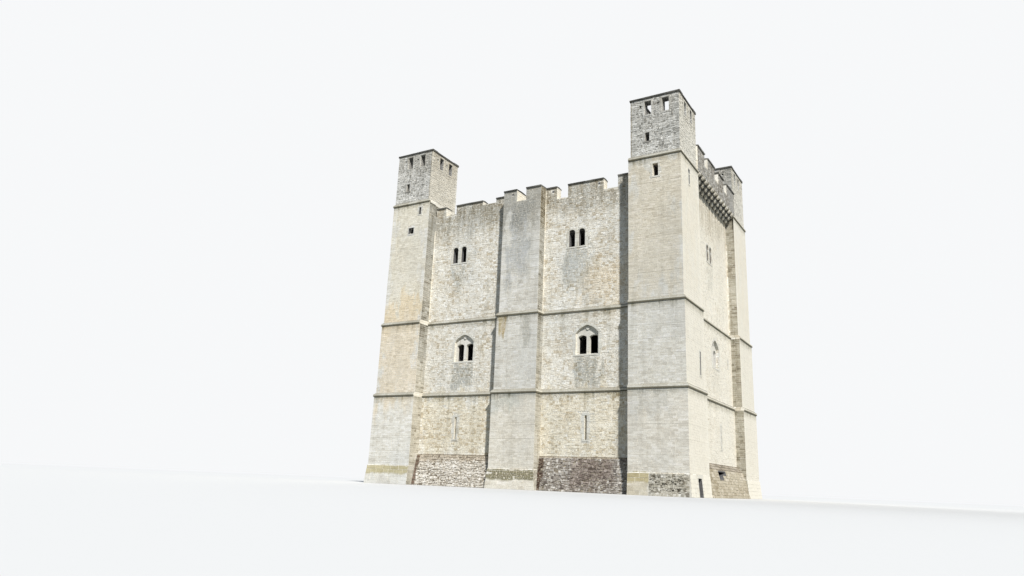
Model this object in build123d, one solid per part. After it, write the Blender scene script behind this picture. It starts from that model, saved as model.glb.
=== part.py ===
"""Square stone keep with four corner turrets, hollow inside, on level ground.

Millimetres. +X runs along the long front, +Y to the rear and +Z up, with the
origin on the ground at the middle of the plan. Every side is drawn as the
front, whose outside faces -Y, and is then turned into its place.
"""

import os

from build123d import *

# Plan, measured on the faces of the middle storey
KEEP_LENGTH = 21400
KEEP_WIDTH = 15300
TURRET_LENGTH = 3300
TURRET_WIDTH = 3450
LONG_RECESS = 900
SHORT_RECESS = 600
BUTTRESS_WIDTH = 2940
BUTTRESS_PROJECTION = 700

# Heights of the foot and of each storey
PLINTH_TOP = 1170
BATTER_BLOCK_TOP = 1950
GROUND_HEIGHT = 5730
HALL_HEIGHT = 4850
UPPER_HEIGHT = 6620

# Heights over the terrace, each from the one before it
LONG_WALK_WALL = 880
LONG_MERLON_HEIGHT = 870
SHORT_WALL_RISE = 2200
SHORT_WALK_WALL = 900
SHORT_MERLON_HEIGHT = 800
TURRET_NECK_RISE = 1100
TURRET_NECK_HEIGHT = 1040

# Set-offs, strings and batter of the outer faces
SET_OFF = 80
STRING_LIP = 45
STRING_HEIGHT = 130
WEATHERING = 110
PLINTH_LIP = 30
PLINTH_BATTER = 130
NECK_SET = 140
TOP_STAGE_SET = 60
LONG_BLOCK_FOOT = 520
LONG_BLOCK_LEDGE = 90
SHORT_BLOCK_FOOT = 800
SHORT_BLOCK_LEDGE = 370

# Floors, parapets and copings
FLOOR_THICK = 450
TERRACE_THICK = 500
PARAPET_THICK = 550
COPING_THICK = 110
COPING_LIP = 60
COPING_FALL = 45
TOP_WALL_THICK = 560
TOP_COPING_THICK = 130

# Notches of the parapets, each as start from the middle of the side, width and, on the long
# sides, depth; those of the short sides go down to the sill
LONG_NOTCHES = ((-6580, 880, 690), (-3500, 1060, 350), (2170, 790, 880), (5420, 950, 800))
SHORT_NOTCHES = ((-2880, 700), (-600, 950), (1600, 800))
BUTTRESS_NOTCH_START = -400
BUTTRESS_NOTCH_WIDTH = 690

# Corbelled parapets of the short sides
CORBEL_COUNT = 12
CORBEL_WIDTH = 270
CORBEL_STEPS = 3
CORBEL_STEP_HEIGHT = 210
CORBEL_NOSE = 110
SHORT_OVERHANG = 640
SHORT_PARAPET_THICK = 450

# Windows of the hall on the first floor
LONG_HALL_WINDOW_X = (-4340, 4460)
SHORT_HALL_WINDOW_X = 300
HALL_SILL_RISE = 2120
HALL_JAMB_HEIGHT = 1280
HALL_JAMB_WIDTH = 100
HALL_RISE = 480
HALL_BULGE = 80
HALL_REVEAL = 160
TRACERY_THICK = 220
HALL_LIGHT_WIDTH = 540
HALL_MULLION = 190
HALL_LIGHT_HEIGHT = 1130
HALL_LIGHT_RISE = 110
HALL_SILL_STONE = 50
BOSS_RADIUS = 110
BOSS_DROP = 170
BOSS_PROUD = 60

# Twin lights of the upper storey
UPPER_WINDOW_X = (-5200, 3640)
SHORT_UPPER_WINDOW_X = (-200,)
UPPER_SILL_RISE = 4080
UPPER_LIGHT_WIDTH = 430
UPPER_LIGHT_HEIGHT = 1130
UPPER_PIER_WIDTH = 250
UPPER_SKIN = 300

# Slits, and the splayed recesses behind every window
SLIT_X = (-4600, 4480)
SHORT_SLIT_X = (700,)
SLIT_SILL = 2900
SLIT_WIDTH = 150
SLIT_HEIGHT = 1380
SLIT_SKIN = 350
STAIR_SLIT_X = 3200
STAIR_SLIT_RISE = 2550
STAIR_SLIT_HEIGHT = 520
SPLAY = 420
RECESS_HEAD = 260

# Openings of the turrets
TOP_SLIT_OFFSET = -470
TOP_SLIT_WIDTH = 270
TOP_SLIT_RISE = 990
TOP_SLIT_HEIGHT = 570
TOP_OPENING_OFFSETS = (-420, 680)
TOP_OPENING_WIDTH = 430
TOP_OPENING_RISE = 1180
TOP_OPENING_HEIGHT = 900
TOP_LINTEL_HEIGHT = 300
PUTLOG = 130
PUTLOG_DEPTH = 320
PUTLOG_RISE = 560
PUTLOG_OFFSETS = (-890, 220)
ROOM_SINK = 350
ROOM_HEAD = 80
ROOM_WALL = 900
ROOM_WINDOW_OFFSET = 30
ROOM_WINDOW_WIDTH = 340
ROOM_WINDOW_RISE = 1140
ROOM_WINDOW_HEIGHT = 790
KEYHOLE_OFFSET = -175
KEYHOLE_RISE = 900
KEYHOLE_RADIUS = 130
KEYHOLE_HEIGHT = 930
LEFT_SLIT_OFFSET = 850
LEFT_SLIT_RISE = 1520
LEFT_SLIT_HEIGHT = 500
LEFT_HOLE_OFFSET = 180
LEFT_HOLE_RISE = 140
LEFT_HOLE_SIZE = 430
SHAFT_SLIT_OFFSET = 825
SHAFT_SLIT_RISE = 870
SHAFT_SLIT_HEIGHT = 1320
SHAFT_SLIT_DEPTH = 800
OUTLET_OFFSET = -225
OUTLET_WIDTH = 600
OUTLET_HEIGHT = 970
OUTLET_DEPTH = 1200
ROBBED_OFFSET = 520
ROBBED_WIDTH = 1850
ROBBED_SILL = 180
ROBBED_HEAD = 80
ROBBED_DEPTH = 160
BREACH_WIDTH = 1650
BREACH_HEIGHT = 400
BREACH_TOP = 1470
BREACH_X = -980
BREACH_LEAN = 90

# Heights above the ground, worked out from the sizes above
FIRST_FLOOR = GROUND_HEIGHT
SECOND_FLOOR = FIRST_FLOOR + HALL_HEIGHT
TERRACE = SECOND_FLOOR + UPPER_HEIGHT
LONG_SILL = TERRACE + LONG_WALK_WALL
LONG_TOP = LONG_SILL + LONG_MERLON_HEIGHT
SHORT_PARAPET_FOOT = TERRACE + SHORT_WALL_RISE
SHORT_SILL = SHORT_PARAPET_FOOT + SHORT_WALK_WALL
SHORT_TOP = SHORT_SILL + SHORT_MERLON_HEIGHT
TURRET_NECK = TERRACE + TURRET_NECK_RISE
TURRET_STRING = TURRET_NECK + TURRET_NECK_HEIGHT
TOP_SLIT_SILL = TURRET_STRING + TOP_SLIT_RISE
TOP_OPENING_SILL = TOP_SLIT_SILL + TOP_SLIT_HEIGHT + TOP_OPENING_RISE
TURRET_TOP = TOP_OPENING_SILL + TOP_OPENING_HEIGHT + TOP_LINTEL_HEIGHT
PUTLOG_SILL = TOP_OPENING_SILL + PUTLOG_RISE
HALL_SILL = FIRST_FLOOR + HALL_SILL_RISE
HALL_SPRING = HALL_SILL + HALL_JAMB_HEIGHT
UPPER_SILL = SECOND_FLOOR + UPPER_SILL_RISE
STAIR_SLIT_SILL = FIRST_FLOOR + STAIR_SLIT_RISE
SHAFT_SLIT_SILL = FIRST_FLOOR + SHAFT_SLIT_RISE
ROOM_FLOOR = TERRACE - ROOM_SINK
ROOM_WINDOW_SILL = ROOM_FLOOR + ROOM_WINDOW_RISE
KEYHOLE_SILL = ROOM_FLOOR + KEYHOLE_RISE
LEFT_SLIT_SILL = ROOM_FLOOR + LEFT_SLIT_RISE
LEFT_HOLE_SILL = ROOM_FLOOR + LEFT_HOLE_RISE
ROOM_CEILING = LEFT_SLIT_SILL + LEFT_SLIT_HEIGHT + ROOM_HEAD

# Other sizes worked out from those above
HALL_WIDTH = 2 * (HALL_LIGHT_WIDTH + HALL_JAMB_WIDTH) + HALL_MULLION
UPPER_LIGHT_PITCH = UPPER_LIGHT_WIDTH + UPPER_PIER_WIDTH
HALF_LENGTH = KEEP_LENGTH / 2
HALF_WIDTH = KEEP_WIDTH / 2
LONG_SPAN = HALF_LENGTH - TURRET_LENGTH
SHORT_SPAN = HALF_WIDTH - TURRET_WIDTH
FOOT_SPREAD = SET_OFF + PLINTH_BATTER
FIRST_TOP = FIRST_FLOOR + WEATHERING
SECOND_TOP = SECOND_FLOOR + WEATHERING
STRING_TOP = TURRET_STRING + WEATHERING
TOP_X0 = LONG_SPAN + NECK_SET
TOP_X1 = HALF_LENGTH - SET_OFF - TOP_STAGE_SET
TOP_Y0 = -HALF_WIDTH + SET_OFF + TOP_STAGE_SET
TOP_Y1 = -SHORT_SPAN - NECK_SET
TOP_MIDDLE_X = (TOP_X0 + TOP_X1) / 2
TOP_MIDDLE_Y = (TOP_Y0 + TOP_Y1) / 2
FAR = KEEP_LENGTH * 2
QUARTER_TURN = 90
HALF_TURN = 180


class Side:
    """One side of the keep: its plan, how it is turned, and its openings."""

    def __init__(self, name, turn, turret_face, recess, room_face, span, top, windows):
        self.name = name
        self.turn = turn
        self.face = turret_face - recess
        self.room_face = room_face
        self.span = span
        self.top = top
        self.hall_windows, self.upper_windows, self.slits, self.stair_slits = windows

    def place(self, shape):
        """Turn a shape that was drawn on the front into its place."""
        return Rot(0, 0, self.turn) * shape


LONG_WINDOWS = (LONG_HALL_WINDOW_X, UPPER_WINDOW_X, SLIT_X, ())
SHORT_WINDOWS = ((SHORT_HALL_WINDOW_X,), SHORT_UPPER_WINDOW_X, SHORT_SLIT_X, (STAIR_SLIT_X,))
LONG_PLAN = (HALF_WIDTH, LONG_RECESS, SHORT_SPAN, LONG_SPAN, TERRACE, LONG_WINDOWS)
SHORT_PLAN = (HALF_LENGTH, SHORT_RECESS, LONG_SPAN, SHORT_SPAN, SHORT_PARAPET_FOOT, SHORT_WINDOWS)
FRONT = Side("front", 0, *LONG_PLAN)
REAR = Side("rear", HALF_TURN, *LONG_PLAN)
RIGHT = Side("right", QUARTER_TURN, *SHORT_PLAN)
LEFT = Side("left", -QUARTER_TURN, *SHORT_PLAN)


def block(x0, x1, y0, y1, z0, z1):
    """A squared block between two corners."""
    return Pos((x0 + x1) / 2, (y0 + y1) / 2, (z0 + z1) / 2) * Box(x1 - x0, y1 - y0, z1 - z0)


def along_x(points, x0, x1):
    """A prism along X from points given as (y, z)."""
    face = Plane.YZ.offset(x0) * make_face(Polyline(*points, close=True))
    return extrude(face, amount=x1 - x0)


def along_y(points, y0, y1):
    """A prism along Y from points given as (x, z)."""
    face = Plane.XZ.offset(-y1) * make_face(Polyline(*points, close=True))
    return extrude(face, amount=y1 - y0)


def string_steps(offset, level, step_in):
    """The lip and sloped top where a face steps in above a string course."""
    return [
        (offset, level - STRING_HEIGHT),
        (offset + STRING_LIP, level - STRING_HEIGHT),
        (offset + STRING_LIP, level),
        (offset - step_in, level + WEATHERING),
    ]


def storeyed_face(top):
    """Outward offset and height of a curtain face, from the ground up."""
    points = [(SET_OFF, 0)]
    points += string_steps(SET_OFF, FIRST_FLOOR, SET_OFF)
    points += string_steps(0, SECOND_FLOOR, SET_OFF)
    return points + [(-SET_OFF, top)]


def plinthed_face(top):
    """As storeyed_face, with the battered plinth of a turret or buttress."""
    plinth = [(FOOT_SPREAD, 0), (SET_OFF + PLINTH_LIP, PLINTH_TOP - PLINTH_LIP), (SET_OFF, PLINTH_TOP)]
    return plinth + storeyed_face(top)[1:]


def arch_face(x, sill, width, height, rise):
    """A light or doorway outline with a segmental head, on the XZ plane."""
    half = width / 2
    spring = sill + height - rise
    jambs = Polyline((x - half, spring), (x - half, sill), (x + half, sill), (x + half, spring))
    head = ThreePointArc((x + half, spring), (x, sill + height), (x - half, spring))
    return make_face(jambs + head)


def pointed_face(x, sill, width, spring, rise, bulge):
    """A low pointed outline on the XZ plane, whose two sides bulge from the straight."""
    half = width / 2
    span = (rise * rise + half * half) ** 0.5
    across = half / 2 + bulge * rise / span
    height = spring + rise / 2 + bulge * half / span
    jambs = Polyline((x - half, spring), (x - half, sill), (x + half, sill), (x + half, spring))
    right = ThreePointArc((x + half, spring), (x + across, height), (x, spring + rise))
    left = ThreePointArc((x, spring + rise), (x - across, height), (x - half, spring))
    return make_face(jambs + right + left)


def cut_inward(face, depth_from, depth_to):
    """A cutter from a face on the XZ plane, between two distances from the middle."""
    return extrude(Plane.XZ.offset(depth_to) * face, amount=depth_from - depth_to)


def splayed_recess(x, sill, width, height, rise, outer, inner):
    """The recess behind a window, wider and higher towards the room."""
    near = Plane.XZ.offset(outer) * arch_face(x, sill, width, height, rise)
    wide = arch_face(x, sill - SPLAY / 2, width + 2 * SPLAY, height + SPLAY, rise + RECESS_HEAD / 2)
    return loft([near, Plane.XZ.offset(inner) * wide])


def upper_light_centres(x):
    """The middles of the two lights of an upper window."""
    return (x - UPPER_LIGHT_PITCH / 2, x + UPPER_LIGHT_PITCH / 2)


def curtain(side):
    """The whole thickness of one curtain wall, from the ground to its top."""
    points = [(-side.room_face, 0)]
    points += [(-side.face - offset, z) for offset, z in storeyed_face(side.top)]
    points += [(-side.room_face, side.top)]
    return along_x(points, -side.span, side.span)


def ground_openings(side):
    """Slits with splayed recesses."""
    outer = side.face + FOOT_SPREAD
    skin = side.face + SET_OFF - SLIT_SKIN
    cutters = []
    for x in side.slits:
        slit = arch_face(x, SLIT_SILL, SLIT_WIDTH, SLIT_HEIGHT, SLIT_WIDTH / 2)
        cutters.append(cut_inward(slit, outer, skin))
        cutters.append(
            splayed_recess(x, SLIT_SILL, SLIT_WIDTH, SLIT_HEIGHT, SLIT_WIDTH / 2, skin, side.room_face)
        )
    return cutters


def hall_openings(side):
    """Pointed recesses that hold the tracery, and the splays behind them."""
    outer = side.face + FOOT_SPREAD
    back = side.face - HALL_REVEAL - TRACERY_THICK
    cutters = []
    for x in side.hall_windows:
        cutters.append(cut_inward(hall_outline(x), outer, back))
        height = HALL_SPRING - HALL_SILL + HALL_RISE / 2
        cutters.append(
            splayed_recess(x, HALL_SILL, HALL_WIDTH, height, HALL_RISE / 2, back, side.room_face)
        )
    for x in side.stair_slits:
        slit = arch_face(x, STAIR_SLIT_SILL, SLIT_WIDTH, STAIR_SLIT_HEIGHT, SLIT_WIDTH / 2)
        skin = side.face - SLIT_SKIN
        cutters.append(cut_inward(slit, outer, skin))
        cutters.append(
            splayed_recess(
                x, STAIR_SLIT_SILL, SLIT_WIDTH, STAIR_SLIT_HEIGHT, SLIT_WIDTH / 2, skin, side.room_face
            )
        )
    return cutters


def hall_outline(x):
    """The pointed outline that the hall window and its tracery share."""
    return pointed_face(x, HALL_SILL, HALL_WIDTH, HALL_SPRING, HALL_RISE, HALL_BULGE)


def upper_openings(side):
    """Twin round-headed lights, with one splayed recess behind each pair."""
    outer = side.face + FOOT_SPREAD
    back = side.face - SET_OFF - UPPER_SKIN
    cutters = []
    for x in side.upper_windows:
        for centre in upper_light_centres(x):
            light = arch_face(
                centre, UPPER_SILL, UPPER_LIGHT_WIDTH, UPPER_LIGHT_HEIGHT, UPPER_LIGHT_WIDTH / 2
            )
            cutters.append(cut_inward(light, outer, back))
        width = UPPER_LIGHT_PITCH + UPPER_LIGHT_WIDTH
        cutters.append(
            splayed_recess(
                x, UPPER_SILL, width, UPPER_LIGHT_HEIGHT, UPPER_LIGHT_WIDTH / 2, back, side.room_face
            )
        )
    return cutters


STOREYS = (
    ("ground", 0, FIRST_TOP, ground_openings),
    ("hall", FIRST_TOP, SECOND_TOP, hall_openings),
    ("upper", SECOND_TOP, None, upper_openings),
)


def storey_wall(side, low, high, openings):
    """One storey of a curtain wall, with its windows cut through."""
    high = side.top if high is None else high
    wall = curtain(side) & block(-FAR, FAR, -FAR, FAR, low, high)
    for cutter in openings(side):
        wall -= cutter
    return wall


def hall_tracery(side):
    """The stone infill of the hall windows: two lights, a mullion, a sill and a boss."""
    outer = side.face - HALL_REVEAL
    back = outer - TRACERY_THICK
    plates = []
    for x in side.hall_windows:
        plate = cut_inward(hall_outline(x), outer, back)
        for way in (-1, 1):
            centre = x + way * (HALL_MULLION + HALL_LIGHT_WIDTH) / 2
            light = arch_face(
                centre, HALL_SILL + HALL_SILL_STONE, HALL_LIGHT_WIDTH, HALL_LIGHT_HEIGHT, HALL_LIGHT_RISE
            )
            plate -= cut_inward(light, outer + 1, back - 1)
        boss_height = HALL_SPRING + HALL_RISE - BOSS_DROP
        boss = Plane.XZ.offset(outer - BOSS_PROUD) * Pos(x, boss_height) * Circle(BOSS_RADIUS)
        plate += extrude(boss, amount=2 * BOSS_PROUD)
        plates.append(plate)
    return Compound(plates)


def buttress(side):
    """The broad buttress in the middle of a long side, up to the parapet's sill."""
    half = BUTTRESS_WIDTH / 2
    front = side.face + BUTTRESS_PROJECTION
    section = [(-side.room_face, 0)]
    section += [(-front - offset, z) for offset, z in plinthed_face(LONG_SILL)]
    section += [(-side.room_face, LONG_SILL)]
    right = [(half + offset, z) for offset, z in plinthed_face(LONG_SILL)]
    left = [(-x, z) for x, z in reversed(right)]
    body = along_x(section, -FAR, FAR) & along_y(right + left, -FAR, 0)
    body -= curtain(side)
    return body - block(-FAR, FAR, -side.face + SET_OFF, 0, 0, FAR)


def batter_blocks(side, foot, ledge, middle=None):
    """Sloping rubble blocks along the foot of a curtain, between what stands forward."""
    face = side.face + SET_OFF
    points = [
        (-face, 0),
        (-face - foot, 0),
        (-face - ledge, BATTER_BLOCK_TOP - ledge),
        (-face, BATTER_BLOCK_TOP),
    ]
    blocks = along_x(points, -side.span, side.span)
    return blocks - middle if middle else blocks


def breach(side):
    """A gap where stones have fallen from the face of a batter block."""
    half = BREACH_WIDTH / 2
    foot = BREACH_TOP - BREACH_HEIGHT
    start = BREACH_X - half
    points = [(start, BREACH_TOP), (start + BREACH_LEAN, foot), (BREACH_X + half, BREACH_TOP)]
    return along_y(points, -side.face - SHORT_BLOCK_FOOT - SET_OFF, -side.face - SET_OFF)


def coped(wall, tops, depth_from, depth_to):
    """Lay weathered coping slabs on a parapet, over each (start, end, height)."""
    for start, end, top in tops:
        low = top - COPING_THICK
        points = [
            (-depth_from - COPING_LIP, low),
            (-depth_from - COPING_LIP, top - COPING_FALL),
            (-(depth_from + depth_to) / 2, top),
            (-depth_to + COPING_LIP, top - COPING_FALL),
            (-depth_to + COPING_LIP, low),
        ]
        wall += along_x(points, start, end)
    return wall


def merlon_spans(notches, start, end):
    """The lengths of parapet between notches, each notch as (start, width)."""
    edges = [start]
    for notch, width in notches:
        edges += [notch, notch + width]
    edges.append(end)
    return list(zip(edges[0::2], edges[1::2]))


def long_parapet(side):
    """The parapet of a long side and its buttress, notched and coped."""
    outer = side.face - SET_OFF
    inner = outer - PARAPET_THICK
    half = BUTTRESS_WIDTH / 2 - SET_OFF
    front = outer + BUTTRESS_PROJECTION
    low = LONG_TOP - COPING_THICK
    wall = block(-side.span, side.span, -outer, -inner, TERRACE, low)
    for start, width, depth in LONG_NOTCHES:
        wall -= block(start, start + width, -outer, -inner, LONG_TOP - depth, LONG_TOP)
    caps = []
    for start, end in merlon_spans([notch[:2] for notch in LONG_NOTCHES], -side.span, side.span):
        for piece_start, piece_end in ((start, min(end, -half)), (max(start, half), end)):
            if piece_start < piece_end:
                caps.append((piece_start, piece_end, LONG_TOP))
    wall = coped(wall, caps, outer, inner)
    wall += block(-half, half, -front, -outer, LONG_SILL, low)
    notch = (BUTTRESS_NOTCH_START, BUTTRESS_NOTCH_START + BUTTRESS_NOTCH_WIDTH)
    wall -= block(*notch, -front, -inner, LONG_SILL, LONG_TOP)
    spans = ((-half, notch[0], LONG_TOP), (notch[1], half, LONG_TOP))
    return coped(wall, spans, front, inner)


def short_parapet(side, turrets):
    """The parapet of a short side, carried forward on the corbels."""
    outer = side.face - SET_OFF + SHORT_OVERHANG
    inner = outer - SHORT_PARAPET_THICK
    end = side.span + NECK_SET
    low = SHORT_TOP - COPING_THICK
    wall = block(-end, end, -outer, -inner, SHORT_PARAPET_FOOT, SHORT_SILL)
    caps = []
    for start, stop in merlon_spans(SHORT_NOTCHES, -end, end):
        wall += block(start, stop, -outer, -inner, SHORT_SILL, low)
        caps.append((start, stop, SHORT_TOP))
    wall = coped(wall, caps, outer, inner)
    wall -= block(-FAR, -side.span, -FAR, FAR, 0, STRING_TOP)
    wall -= block(side.span, FAR, -FAR, FAR, 0, STRING_TOP)
    wall = side.place(wall)
    for turret in turrets:
        wall -= turret
    return wall


def corbel_table(side):
    """Stepped corbels with rounded noses that carry a short side's parapet."""
    back = side.face - SET_OFF
    step_out = SHORT_OVERHANG / CORBEL_STEPS
    foot = SHORT_PARAPET_FOOT - CORBEL_STEPS * CORBEL_STEP_HEIGHT
    shape = None
    for step in range(CORBEL_STEPS):
        reach = -back - step_out * (step + 1)
        low = foot + CORBEL_STEP_HEIGHT * step
        high = low + CORBEL_STEP_HEIGHT
        outline = Polyline(
            (reach + CORBEL_NOSE, low), (-back, low), (-back, high), (reach, high), (reach, low + CORBEL_NOSE)
        )
        nose = RadiusArc((reach, low + CORBEL_NOSE), (reach + CORBEL_NOSE, low), -CORBEL_NOSE)
        course = extrude(Plane.YZ * make_face(outline + nose), amount=CORBEL_WIDTH / 2, both=True)
        shape = course if shape is None else shape + course
    pitch = 2 * side.span / CORBEL_COUNT
    first = -side.span + pitch / 2
    return Compound([Pos(first + pitch * index, 0, 0) * shape for index in range(CORBEL_COUNT)])


def turret_outline(half, span, top):
    """The plan profile of a shaft across one axis, seen from the ground up."""
    outer = [(half + offset, z) for offset, z in plinthed_face(top)[:-1]]
    outer += [(half + offset, z) for offset, z in string_steps(-SET_OFF, TURRET_STRING, TOP_STAGE_SET)]
    neck = span + NECK_SET
    inner = [(neck - offset, z) for offset, z in reversed(string_steps(0, TURRET_STRING, 0))]
    return outer + inner + [(neck, TURRET_NECK), (span, TURRET_NECK), (span, 0)]


def turret_shaft():
    """The shaft of the turret at +X and -Y, up to the string under its top stage."""
    across = along_y(turret_outline(HALF_LENGTH, LONG_SPAN, TURRET_STRING), -FAR, 0)
    depth = [(-y, z) for y, z in turret_outline(HALF_WIDTH, SHORT_SPAN, TURRET_STRING)]
    shaft = across & along_x(depth, 0, FAR)
    shaft -= string_return_cut()
    return shaft - block(
        LONG_SPAN + ROOM_WALL,
        HALF_LENGTH - ROOM_WALL,
        -HALF_WIDTH + ROOM_WALL,
        -SHORT_SPAN - ROOM_WALL,
        ROOM_FLOOR,
        ROOM_CEILING,
    )


def string_return_cut():
    """Ends the string a little way back along the faces over the wall walks."""
    x = LONG_SPAN + NECK_SET
    y = -SHORT_SPAN - NECK_SET
    low = TURRET_STRING - STRING_HEIGHT
    cut = block(x - NECK_SET, x, -HALF_WIDTH + LONG_RECESS, FAR, low, STRING_TOP)
    return cut + block(0, HALF_LENGTH - SHORT_RECESS, y, y + NECK_SET, low, STRING_TOP)


def front_cut(offset, width, sill, height, depth, way=1):
    """A cutter into a turret's front face, from the middle of the turret at that side."""
    x = way * (LONG_SPAN + HALF_LENGTH) / 2 + offset
    face = -HALF_WIDTH - FOOT_SPREAD
    return block(x - width / 2, x + width / 2, face, -HALF_WIDTH + depth, sill, sill + height)


def side_cut(offset, width, sill, height, depth):
    """A cutter into the right turret's right face, from the middle of the turret."""
    y = -(SHORT_SPAN + HALF_WIDTH) / 2 + offset
    face = HALF_LENGTH + FOOT_SPREAD
    return block(HALF_LENGTH - depth, face, y - width / 2, y + width / 2, sill, sill + height)


def right_shaft_openings():
    """Windows of a turret's room, and the slits of its shaft."""
    eye_y = -(SHORT_SPAN + HALF_WIDTH) / 2 + KEYHOLE_OFFSET
    eye_z = KEYHOLE_SILL + KEYHOLE_HEIGHT - KEYHOLE_RADIUS
    eye = Plane.YZ.offset(HALF_LENGTH - ROOM_WALL) * Pos(eye_y, eye_z) * Circle(KEYHOLE_RADIUS)
    slit_height = KEYHOLE_HEIGHT - KEYHOLE_RADIUS
    cutters = front_cut(
        ROOM_WINDOW_OFFSET, ROOM_WINDOW_WIDTH, ROOM_WINDOW_SILL, ROOM_WINDOW_HEIGHT, ROOM_WALL
    )
    cutters += side_cut(KEYHOLE_OFFSET, SLIT_WIDTH, KEYHOLE_SILL, slit_height, ROOM_WALL)
    cutters += extrude(eye, amount=ROOM_WALL + FOOT_SPREAD)
    return cutters + side_cut(
        SHAFT_SLIT_OFFSET, SLIT_WIDTH, SHAFT_SLIT_SILL, SHAFT_SLIT_HEIGHT, SHAFT_SLIT_DEPTH
    )


def left_shaft_openings():
    """The narrow slit and the square hole of the left turret's room."""
    slit = front_cut(LEFT_SLIT_OFFSET, SLIT_WIDTH, LEFT_SLIT_SILL, LEFT_SLIT_HEIGHT, ROOM_WALL, -1)
    return slit + front_cut(
        LEFT_HOLE_OFFSET, LEFT_HOLE_SIZE, LEFT_HOLE_SILL, LEFT_HOLE_SIZE, ROOM_WALL, -1
    )


def foot_damage():
    """The low outlet and the robbed facing at the foot of the front right turret."""
    outlet = side_cut(OUTLET_OFFSET, OUTLET_WIDTH, 0, OUTLET_HEIGHT, OUTLET_DEPTH)
    height = PLINTH_TOP - ROBBED_HEAD - ROBBED_SILL
    return outlet + front_cut(
        ROBBED_OFFSET, ROBBED_WIDTH, ROBBED_SILL, height, ROBBED_DEPTH - FOOT_SPREAD
    )


def turret_shafts():
    """The four shafts by corner, each with its own openings."""
    plain = turret_shaft()
    right = plain - right_shaft_openings()
    left = mirror(plain, about=Plane.YZ) - left_shaft_openings()
    turn = Rot(0, 0, HALF_TURN)
    return {
        "front_right": right - foot_damage(),
        "front_left": left,
        "rear_right": turn * left,
        "rear_left": turn * right,
    }


def slot_across(axis, offset, width, sill, height):
    """A cutter through two opposite walls of the top stage."""
    if axis == "y":
        x = TOP_MIDDLE_X + offset
        return block(x - width / 2, x + width / 2, TOP_Y0 - SET_OFF, TOP_Y1 + SET_OFF, sill, sill + height)
    y = TOP_MIDDLE_Y + offset
    return block(TOP_X0 - SET_OFF, TOP_X1 + SET_OFF, y - width / 2, y + width / 2, sill, sill + height)


def top_stage():
    """The open-topped stage of the turret at +X and -Y, with its openings."""
    stage = block(TOP_X0, TOP_X1, TOP_Y0, TOP_Y1, STRING_TOP, TURRET_TOP - TOP_COPING_THICK)
    stage -= block(
        TOP_X0 + TOP_WALL_THICK,
        TOP_X1 - TOP_WALL_THICK,
        TOP_Y0 + TOP_WALL_THICK,
        TOP_Y1 - TOP_WALL_THICK,
        STRING_TOP,
        TURRET_TOP,
    )
    for axis in ("x", "y"):
        for offset in TOP_OPENING_OFFSETS:
            stage -= slot_across(axis, offset, TOP_OPENING_WIDTH, TOP_OPENING_SILL, TOP_OPENING_HEIGHT)
        for offset in PUTLOG_OFFSETS:
            hole = slot_across(axis, offset, PUTLOG, PUTLOG_SILL, PUTLOG)
            stage -= hole - block(
                TOP_X0 + PUTLOG_DEPTH,
                TOP_X1 - PUTLOG_DEPTH,
                TOP_Y0 + PUTLOG_DEPTH,
                TOP_Y1 - PUTLOG_DEPTH,
                0,
                FAR,
            )
    slit_x = TOP_MIDDLE_X + TOP_SLIT_OFFSET
    half = TOP_SLIT_WIDTH / 2
    return stage - block(
        slit_x - half,
        slit_x + half,
        TOP_Y0 - SET_OFF,
        TOP_Y0 + TOP_WALL_THICK,
        TOP_SLIT_SILL,
        TOP_SLIT_SILL + TOP_SLIT_HEIGHT,
    )


def top_coping():
    """The ring of slabs that caps a turret's top stage."""
    lip = COPING_LIP
    low = TURRET_TOP - TOP_COPING_THICK
    ring = block(TOP_X0 - lip, TOP_X1 + lip, TOP_Y0 - lip, TOP_Y1 + lip, low, TURRET_TOP)
    ring = chamfer(ring.edges().group_by(Axis.Z)[-1], COPING_FALL)
    wall = TOP_WALL_THICK + lip
    return ring - block(TOP_X0 + wall, TOP_X1 - wall, TOP_Y0 + wall, TOP_Y1 - wall, low, TURRET_TOP)


def save(shape, name):
    """Write one named piece."""
    export_step(shape, f"parts/{name}.step")
    print(f"{name}: {len(shape.solids())} solids, {shape.volume / 1e9:.3f} cubic metres")


def on_corner(corner, shape):
    """Move or turn a top piece of the front right turret to its own corner.

    The openings keep their order from left to right on every front and rear.
    """
    across = Pos(-2 * TOP_MIDDLE_X, 0, 0)
    turn = Rot(0, 0, HALF_TURN)
    places = {
        "front_right": Pos(0, 0, 0),
        "front_left": across,
        "rear_left": turn,
        "rear_right": turn * across,
    }
    return places[corner] * shape


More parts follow.
